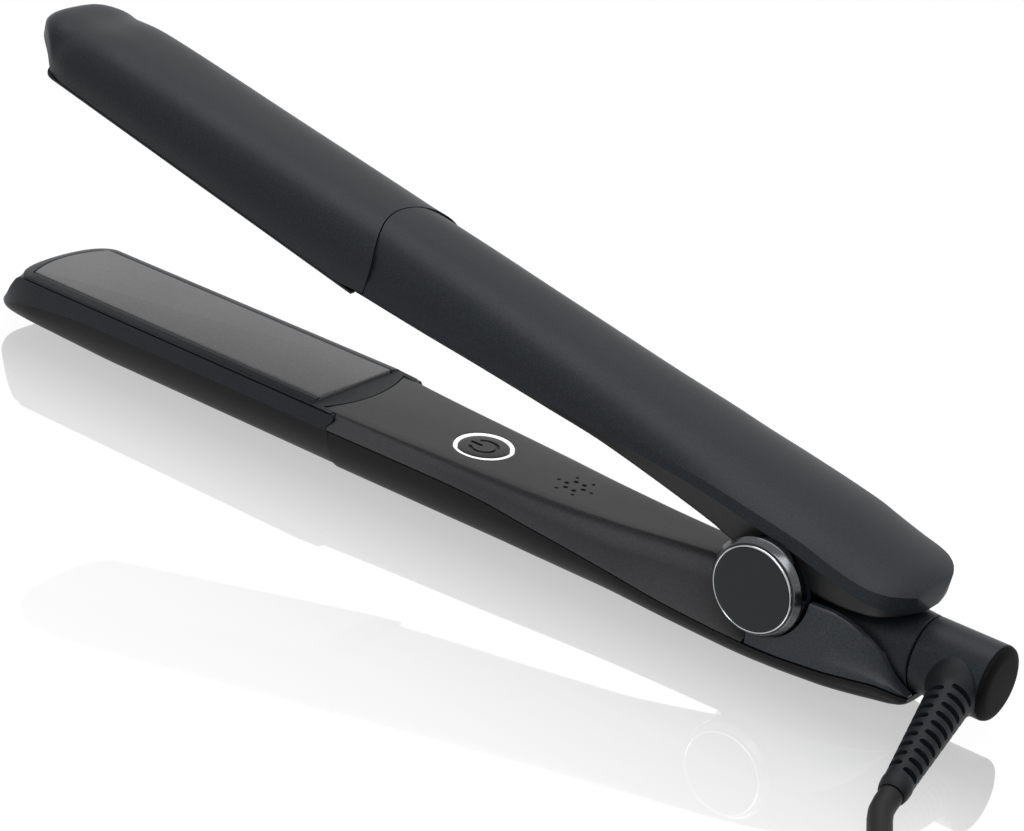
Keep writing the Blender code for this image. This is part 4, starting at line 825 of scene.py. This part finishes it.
# ---- hinge caps
def hinge_cap(sign, name):
    """Glossy cap with a dark bevelled rim, and the bright ring set in its groove."""
    rim = 9.5
    groove = 19.8
    front = 20.25
    body = [(sign * a, r) for a, r in rounded(
        [(16.4, 10.9), (18.3, 10.9), (groove - 0.2, rim + 0.45), (groove, rim + 0.02), (groove, rim - 0.4)],
        0.22)]
    centre = [(sign * a, r) for a, r in rounded(
        [(groove, rim - 0.4), (front - 0.1, rim - 0.42), (front, rim - 0.8), (front, rim - 2.0)],
        0.15)]
    cap = turned("Y", body + centre[1:], 128)
    for face in cap.faces:
        middle = face.calc_center_median()
        if len(face.verts) == 4 and hypot(middle.x, middle.z) > rim + 0.3:
            face.material_index = 1
    piece(f"hinge_cap_{name}", cap, LOWER, GLOSS, "lower_arm", angle=25, looks=(SMOKED,))
    ring = [(sign * a, r) for a, r in (
        (groove + 0.1, rim), (groove + 0.1, rim - 0.34), (front - 0.08, rim - 0.34),
        (front - 0.01, rim - 0.26), (front - 0.05, rim - 0.14), (front - 0.16, rim - 0.04))]
    piece(f"cap_ring_{name}", turned("Y", ring, 128, closed=True), LOWER, CHROME, "lower_arm",
          angle=40)


# ---- controls
def controls(arm):
    """The power button with its open ring and bar, and the light ring round it."""
    centre = (BUTTON_X, 0, 0)
    face = lower_face(BUTTON_X)
    edge = arm.z(face + 0.25)
    foot = arm.z(face + 4.2)
    crest = arm.z(face - 0.02)
    profile = [(foot, LIGHT_RADIUS), (edge, LIGHT_RADIUS), (crest, LIGHT_RADIUS - 0.18),
               (crest, BUTTON_RADIUS + 0.33), (edge, BUTTON_RADIUS + 0.2), (foot, BUTTON_RADIUS + 0.2)]
    piece("button_light_ring", turned("Z", profile, 96, centre, closed=True), arm.matrix, GUIDE, arm.body,
          angle=50)
    top = BUTTON_RADIUS - GAP
    under = arm.z(face + 1.6)
    profile = [(arm.z(10.2), 1.7), (under, 1.7), (under, top)]
    profile += rounded([(under, top), (edge, top), (arm.z(face + 0.1), top - 0.5)], 0.2)
    made = piece("power_button", turned("Z", profile, 96, centre), arm.matrix, COVER, "button")
    gap = 0.62
    bottom = arm.z(face + 0.45)
    above = arm.z(face - 1.0)
    rings = []
    for i in range(41):
        angle = pi + gap + (2 * pi - 2 * gap) * i / 40
        c, s = cos(angle), sin(angle)
        rings.append([(BUTTON_X + r * c, r * s, z)
                      for r, z in ((2.7, bottom), (3.6, bottom), (3.6, above), (2.7, above))])
    boolean(made, lofted(rings, arm.matrix))
    boolean(made, box((BUTTON_X - 3.7, -0.45, bottom), (BUTTON_X - 0.5, 0.45, above), arm.matrix))
    smooth(made, 30)


# ---- cord outlet
def outlet():
    """The fixed collar in the tail, the barrel that turns in it, and the strain relief."""
    bore = 6.2
    throat = 3.9
    step = 27.4
    inner = COLLAR_START_X + 1.4
    collar = [(COLLAR_START_X, COLLAR_RADIUS), (COLLAR_END_X - 0.2, BARREL_RADIUS + 0.02),
              (COLLAR_END_X, BARREL_RADIUS - 0.2), (COLLAR_END_X, throat), (step, throat), (step, bore),
              (inner, bore), (inner, throat), (COLLAR_START_X, throat)]
    mesh = turned("X", collar, 128, (0, 0, SWIVEL_Z), closed=True)
    piece("fixed_collar", mesh, LOWER, SATIN, "lower_arm")
    start = COLLAR_END_X + 0.3
    end = BARREL_END_X
    cap_start = end - 1.6
    barrel = [(17.0, 3.6), (start, 3.6), (start, BARREL_RADIUS - 0.3), (start + 0.3, BARREL_RADIUS),
              (cap_start - 0.15, BARREL_RADIUS), (cap_start, BARREL_RADIUS - 0.15)]
    piece("swivel_barrel", turned("X", barrel, 128), SWIVEL, SATIN, "swivel")
    cap = [(cap_start + 0.1, BARREL_RADIUS - 0.15)] + rounded(
        [(cap_start + 0.15, BARREL_RADIUS - 0.05), (end - 0.7, BARREL_RADIUS - 0.35),
         (end - 0.1, BARREL_RADIUS - 1.7), (end, BARREL_RADIUS - 3.2)], 1.0, 8)
    piece("barrel_end_cap", turned("X", cap, 128), SWIVEL, END_BLACK, "swivel")
    return relief()


TAPER_START = 10.4
TAPER_LENGTH = 27.8
SLOT_RADIUS = 0.72
SLOT_PITCH = 2.9


def relief_place(point):
    """From the relief's own line, -Y along it, to the raked place on the barrel."""
    return tuple(Vector((RELIEF_ROOT_X, 0, 0)) + Matrix.Rotation(RELIEF_RAKE, 3, "Z") @ Vector(point))


def taper_radius(reach):
    return 4.8 - 1.7 * (reach - TAPER_START) / TAPER_LENGTH


def relief():
    """Tapered sleeve with four rows of slots, staggered so that it bends."""
    profile = [(5.2, 6.8), (7.8, 6.1), (8.7, 5.6), (9.6, 5.15), (TAPER_START, 4.85)]
    profile += [(reach, taper_radius(reach)) for reach in spaced(12.0, 38.2, 12)]
    profile += [(38.8, 3.2), (39.4, 3.25), (40.8, 3.15), (41.6, 3.0), (42.1, 2.85), (RELIEF_REACH, 2.7)]
    rings = [[relief_place(p) for p in circle("Y", -reach, radius, 48)] for reach, radius in profile]
    made = piece("strain_relief", skin(rings), SWIVEL, RELIEF, "swivel")
    room = [(COLLAR_END_X, BARREL_RADIUS + GAP), (BARREL_END_X + 4, BARREL_RADIUS + GAP)]
    boolean(made, cutter(turned("X", room, 128), SWIVEL))
    slots = bmesh.new()
    for row in range(4):
        spin = Matrix.Rotation((row + 0.5) * pi / 2, 3, "Y")
        for i in range(10 - row % 2):
            reach = 11.3 + SLOT_PITCH * (i + 0.5 * (row % 2))
            radius = taper_radius(reach)
            shape = []
            for k in range(24):
                angle = 2 * pi * k / 24
                shift = copysign(0.62 * radius - SLOT_RADIUS, cos(angle))
                shape.append((shift + SLOT_RADIUS * cos(angle), -reach + SLOT_RADIUS * sin(angle)))
            skin([[relief_place(spin @ Vector((a, b, h))) for a, b in shape]
                  for h in (radius - 1.2, radius + 2)], mesh=slots)
    boolean(made, cutter(slots, SWIVEL))
    return smooth(made, 30)


# ---- lead
CORD_RADIUS = 2.5
CORD_LIFT = -HINGE_Z + CORD_RADIUS + 0.05
COIL_CENTRE = (122.0, -26.0)
COIL_OUTER_RADIUS = 41.5
COIL_PITCH = 5.5
COIL_START = (113.0, -67.5)
LAYERS = 4
LAYER_TURNS = 3
PLUG_WIDTH = 35.3
PLUG_THICKNESS = 13.7
PLUG_AT = Vector((COIL_CENTRE[0] + 11.0, COIL_CENTRE[1] + 24.0,
                  CORD_LIFT + COIL_PITCH * (LAYERS - 1) + CORD_RADIUS + GAP + PLUG_THICKNESS / 2))


def smooth_route(points, spacing):
    """A smooth line through the points, cut into even steps."""
    route = [Vector(p) for p in points]
    padded = [2 * route[0] - route[1], *route, 2 * route[-1] - route[-2]]
    fine = []
    for a, b, c, d in zip(padded, padded[1:], padded[2:], padded[3:]):
        for i in range(24):
            t = i / 24
            fine.append(0.5 * (2 * b + (c - a) * t + (2 * a - 5 * b + 4 * c - d) * t**2
                               + (3 * b - a - 3 * c + d) * t**3))
    fine.append(route[-1])
    travel = [0.0]
    for a, b in zip(fine, fine[1:]):
        travel.append(travel[-1] + (b - a).length)
    count = max(2, round(travel[-1] / spacing))
    made, at = [], 0
    for k in range(count + 1):
        goal = travel[-1] * k / count
        while at < len(travel) - 2 and travel[at + 1] < goal:
            at += 1
        share = (goal - travel[at]) / (travel[at + 1] - travel[at])
        made.append(fine[at].lerp(fine[at + 1], min(1.0, share)))
    return made


def relief_exit():
    """Where the lead leaves the relief, and which way it points."""
    out = Matrix.Rotation(RELIEF_DROP, 3, "X") @ Matrix.Rotation(RELIEF_RAKE, 3, "Z") @ Vector((0, -1, 0))
    return Vector((RELIEF_ROOT_X, 0, SWIVEL_Z)) + out * RELIEF_REACH, out


def coil_route(per_turn=48):
    """Loops that spiral in and out in layers, then rise and turn into the plug."""
    centre = Vector((*COIL_CENTRE, CORD_LIFT))
    points = []
    for i in range(LAYERS * LAYER_TURNS * per_turn + per_turn // 4 + 1):
        turn = i / per_turn
        place = turn / LAYER_TURNS
        inward = LAYER_TURNS * abs(place - 2 * round(place / 2))
        nearest = max(1, round(place))
        climb = min(1.0, max(0.0, 0.5 + (turn - nearest * LAYER_TURNS) * 2))
        radius = COIL_OUTER_RADIUS - COIL_PITCH * inward
        angle = -pi / 2 + 2 * pi * turn
        points.append(centre + Vector((radius * cos(angle), radius * sin(angle),
                                       COIL_PITCH * (nearest - 1 + climb))))
    start = points[-1].copy()
    bend = PLUG_AT.y - start.y
    for i in range(1, 15):
        angle = 0.5 * pi * i / 14
        rise = (PLUG_AT.z - start.z) * (1 - cos(2 * angle)) / 2
        points.append(Vector((start.x - bend + bend * cos(angle),
                              start.y + bend * sin(angle), start.z + rise)))
    points.append(Vector((PLUG_AT.x + GAP, PLUG_AT.y, PLUG_AT.z)))
    return points


def lead():
    """The whole lead as one tube, from the relief's end to the plug."""
    exit_point, out = relief_exit()
    route = smooth_route([
        exit_point + out * GAP, exit_point + out * 5.4, (53.2, -51.6, CORD_LIFT + 0.15),
        (57.3, -58.8, CORD_LIFT), (62.9, -64.2, CORD_LIFT), (70.0, -67.3, CORD_LIFT),
        (78.0, -68.6, CORD_LIFT), (89.0, -68.4, CORD_LIFT), (99.0, COIL_START[1] - 0.1, CORD_LIFT),
        (106.0, COIL_START[1], CORD_LIFT), (*COIL_START, CORD_LIFT),
    ], 2.5)
    route += coil_route()[2:]
    rings = []
    side = None
    for i, point in enumerate(route):
        along = (route[min(i + 1, len(route) - 1)] - route[max(i - 1, 0)]).normalized()
        side = Vector((0, 0, 1)).cross(along) if side is None else side
        side = (side - along * side.dot(along)).normalized()
        other = along.cross(side)
        rings.append([point + CORD_RADIUS * (side * cos(a) + other * sin(a))
                      for a in (2 * pi * k / 16 for k in range(16))])
    made = piece("lead", skin(rings), LOWER, RUBBER)
    path = [LOWER @ (p * MM) for p in route]
    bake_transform(made)
    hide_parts("cord", "cord_coil")
    return made, path


def plug():
    """Two-pin plug that lies on the coil."""
    at = PLUG_AT

    def ring(x, y, z, corner):
        c = min(corner, z * 0.6)
        shape = []
        for sy, sz, turn in ((1, 1, 0), (-1, 1, 1), (-1, -1, 2), (1, -1, 3)):
            for k in range(7):
                angle = pi / 2 * (turn + k / 6)
                shape.append((sy * (y - c) + c * cos(angle), sz * (z - c) + c * sin(angle)))
        return [(at.x - x, at.y + a, at.z + b) for a, b in shape]

    half = PLUG_WIDTH / 2
    thick = PLUG_THICKNESS / 2
    sizes = curve((0.0, 4.6), (7.0, 5.6), (15.0, half - 3.5), (20.0, half), (34.0, half))
    depths = curve((0.0, 4.4), (7.0, 5.2), (15.0, thick), (34.0, thick))
    stations = [0.0, 0.3, 0.8, *spaced(1.5, 20.0, 20), 26.0, 32.8, 33.5, 34.0]
    eased = {0.0: 0.8, 0.3: 0.35, 0.8: 0.0, 33.5: 0.3, 34.0: 1.0}
    mesh = skin([ring(x, sizes(x) - eased.get(x, 0), depths(x) - eased.get(x, 0), 3.4) for x in stations])
    pieces = [piece("plug_body", mesh, LOWER, RELIEF, "lower_arm")]
    for sign, name in ((-1, "plug_pin_a"), (1, "plug_pin_b")):
        x0 = at.x - 34.05
        profile = [(x0, 2.0), (x0 - 17.6, 2.0), (x0 - 18.5, 1.7), (x0 - 19.0, 1.1)]
        mesh = turned("X", profile, 48, (0, at.y + sign * 9.3, at.z))
        pieces.append(piece(name, mesh, LOWER, NICKEL, "lower_arm"))
    return pieces


# ---- leaf springs
def float_spring(name, arm):
    """A leaf spring: its node's mesh copied as it is, in spring steel, riding on the arm."""
    node = frame["nodes"][name]
    mesh = bmesh.new()
    mesh.from_mesh(node.data)
    mesh.transform(Matrix.Scale(1 / MM, 4) @ node.matrix_world)
    leaf = piece(name, mesh, Matrix.Identity(4), SPRING, arm.body)
    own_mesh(leaf)


# ---- build
def build():
    for prefix, arm in (("lower", LOWER_ARM), ("upper", UPPER_ARM)):
        front_shell(prefix + "_front_shell", arm)
        plate_frame(prefix + "_plate_frame", arm)
        plate(prefix + "_plate", arm, prefix + "_plate_pack")
        for end in ("front", "rear"):
            float_spring(f"{prefix}_float_spring_{end}", arm)
    lower_handle(LOWER_ARM)
    lower_cover(LOWER_ARM)
    hinge_housing(LOWER_ARM)
    upper_handle(UPPER_ARM)
    upper_cover(UPPER_ARM)
    for sign, name in ((-1, "near"), (1, "far")):
        hinge_cap(sign, name)
    controls(LOWER_ARM)
    relief_piece = outlet()
    tube, path = lead()
    plug()


INNER_LOOKS = {
    "circuit_board": BOARD, "tact_switch": HEATPROOF, "buzzer": HEATPROOF, "hinge_pin": STEEL,
    "hinge_spring": SPRING, "hinge_bush_near": ACETAL, "hinge_bush_far": ACETAL,
    "slip_ring_live": BRASS, "slip_ring_neutral": BRASS, "brush_live": BRASS, "brush_neutral": BRASS,
    "lower_heater": CERAMIC, "upper_heater": CERAMIC, "lower_heater_carrier": ALUMINIUM,
    "upper_heater_carrier": ALUMINIUM, "lower_heater_tray": HEATPROOF, "upper_heater_tray": HEATPROOF,
}


def dress_inner_parts():
    for name, look in INNER_LOOKS.items():
        data = frame["nodes"][name].data
        data.materials.clear()
        data.materials.append(look)


# ---- camera, floor and light
def camera():
    data = bpy.data.cameras.new("camera")
    data.sensor_fit = "HORIZONTAL"
    data.sensor_width = 36.0
    data.lens = 94.81
    data.clip_start = 0.01
    data.clip_end = 20.0
    made = in_scene("camera", data)
    right = Vector((0.78117, 0.61465, 0.10943))
    down = Vector((0.33056, -0.25851, -0.90769))
    ahead = Vector((-0.52962, 0.74524, -0.40512))
    turn = Matrix((right, -down, -ahead)).transposed().to_4x4()
    place = Vector((0.240804 - CENTRE_X * MM, -0.449731, 0.249114 + HINGE_Z * MM))
    made.matrix_world = Matrix.Translation(place) @ turn
    bpy.context.scene.camera = made


def ray_kinds(nodes, links):
    """1 for rays from the camera, through glass or off a glossy face, 0 for the rest."""
    path = nodes.new("ShaderNodeLightPath")
    total = None
    for kind in ("Is Camera Ray", "Is Glossy Ray", "Is Transmission Ray"):
        if total is None:
            total = path.outputs[kind]
            continue
        joined = nodes.new("ShaderNodeMath")
        joined.operation = "MAXIMUM"
        links.new(total, joined.inputs[0])
        links.new(path.outputs[kind], joined.inputs[1])
        total = joined.outputs[0]
    return total


def world():
    """White for the viewer and for reflections, softer for the light on dull surfaces."""
    made = bpy.data.worlds.new("studio")
    bpy.context.scene.world = made
    made.use_nodes = True
    nodes, links = made.node_tree.nodes, made.node_tree.links
    nodes.clear()
    out = nodes.new("ShaderNodeOutputWorld")
    mix = nodes.new("ShaderNodeMixShader")
    soft = put(nodes.new("ShaderNodeBackground"), Color=WHITE, Strength=0.5)
    white = put(nodes.new("ShaderNodeBackground"), Color=WHITE, Strength=1.0)
    links.new(ray_kinds(nodes, links), mix.inputs["Fac"])
    links.new(soft.outputs[0], mix.inputs[1])
    links.new(white.outputs[0], mix.inputs[2])
    links.new(mix.outputs[0], out.inputs["Surface"])


def floor():
    mesh = bpy.data.meshes.new("floor")
    reach = 3.0
    mesh.from_pydata([(-reach, -reach, 0), (reach, -reach, 0), (reach, reach, 0), (-reach, reach, 0)], [],
                     [(0, 1, 2, 3)])
    in_scene("floor", mesh)
    mesh.materials.append(floor_look())


# How much the floor mirrors, by the share of the way towards the viewer
MIRROR_SHARES = ((0.1, 0.41), (0.1625, 0.33), (0.2375, 0.24), (0.3125, 0.18), (0.469, 0.1), (0.625, 0.06))


def floor_look():
    """White floor that mirrors the arms less the nearer it comes to the viewer."""
    look, nodes, links = new_material("floor_white")
    nodes.clear()
    out = nodes.new("ShaderNodeOutputMaterial")
    glow = put(nodes.new("ShaderNodeEmission"), Color=WHITE, Strength=1.02)
    dim = put(nodes.new("ShaderNodeBsdfDiffuse"), Color=(0.5, 0.5, 0.5, 1))
    base = put(nodes.new("ShaderNodeBsdfDiffuse"), Color=(0.95, 0.95, 0.95, 1))
    lit = put(nodes.new("ShaderNodeMixShader"), Fac=0.08)
    seen = nodes.new("ShaderNodeMixShader")
    sheen = put(nodes.new("ShaderNodeBsdfGlossy"), Color=WHITE, Roughness=0.03)
    final = nodes.new("ShaderNodeMixShader")
    place = nodes.new("ShaderNodeNewGeometry")
    parts = nodes.new("ShaderNodeSeparateXYZ")
    along = put(nodes.new("ShaderNodeMapRange"), From_Min=0.0, From_Max=-0.16)
    fade = nodes.new("ShaderNodeValToRGB")
    near, far = fade.color_ramp.elements
    near.color = (0.46, 0.46, 0.46, 1)
    far.color = (0.0, 0.0, 0.0, 1)
    for position, share in MIRROR_SHARES:
        fade.color_ramp.elements.new(position).color = (share, share, share, 1)
    links.new(place.outputs["Position"], parts.inputs[0])
    links.new(parts.outputs["Y"], along.inputs["Value"])
    links.new(along.outputs["Result"], fade.inputs["Fac"])
    links.new(fade.outputs["Color"], final.inputs["Fac"])
    links.new(glow.outputs[0], lit.inputs[1])
    links.new(base.outputs[0], lit.inputs[2])
    links.new(ray_kinds(nodes, links), seen.inputs["Fac"])
    links.new(dim.outputs[0], seen.inputs[1])
    links.new(lit.outputs[0], seen.inputs[2])
    links.new(seen.outputs[0], final.inputs[1])
    links.new(sheen.outputs[0], final.inputs[2])
    links.new(final.outputs[0], out.inputs["Surface"])
    return look


def lamp(name, place, target, size, power):
    data = bpy.data.lights.new(name, "AREA")
    data.shape = "RECTANGLE"
    data.size, data.size_y = size
    data.energy = power
    made = in_scene(name, data)
    made.location = place
    made.rotation_euler = (Vector(target) - Vector(place)).to_track_quat("-Z", "Y").to_euler()


def lamps():
    lamp("top", (-0.1, 0.25, 0.9), (-0.03, 0, 0), (0.9, 0.5), 3.6)
    lamp("front", (0.27, -0.3, 0.42), (0.0, 0, 0.02), (0.35, 0.25), 1.3)


bpy.context.scene.view_settings.view_transform = "Standard"
camera()
build()
dress_inner_parts()
world()
floor()
lamps()
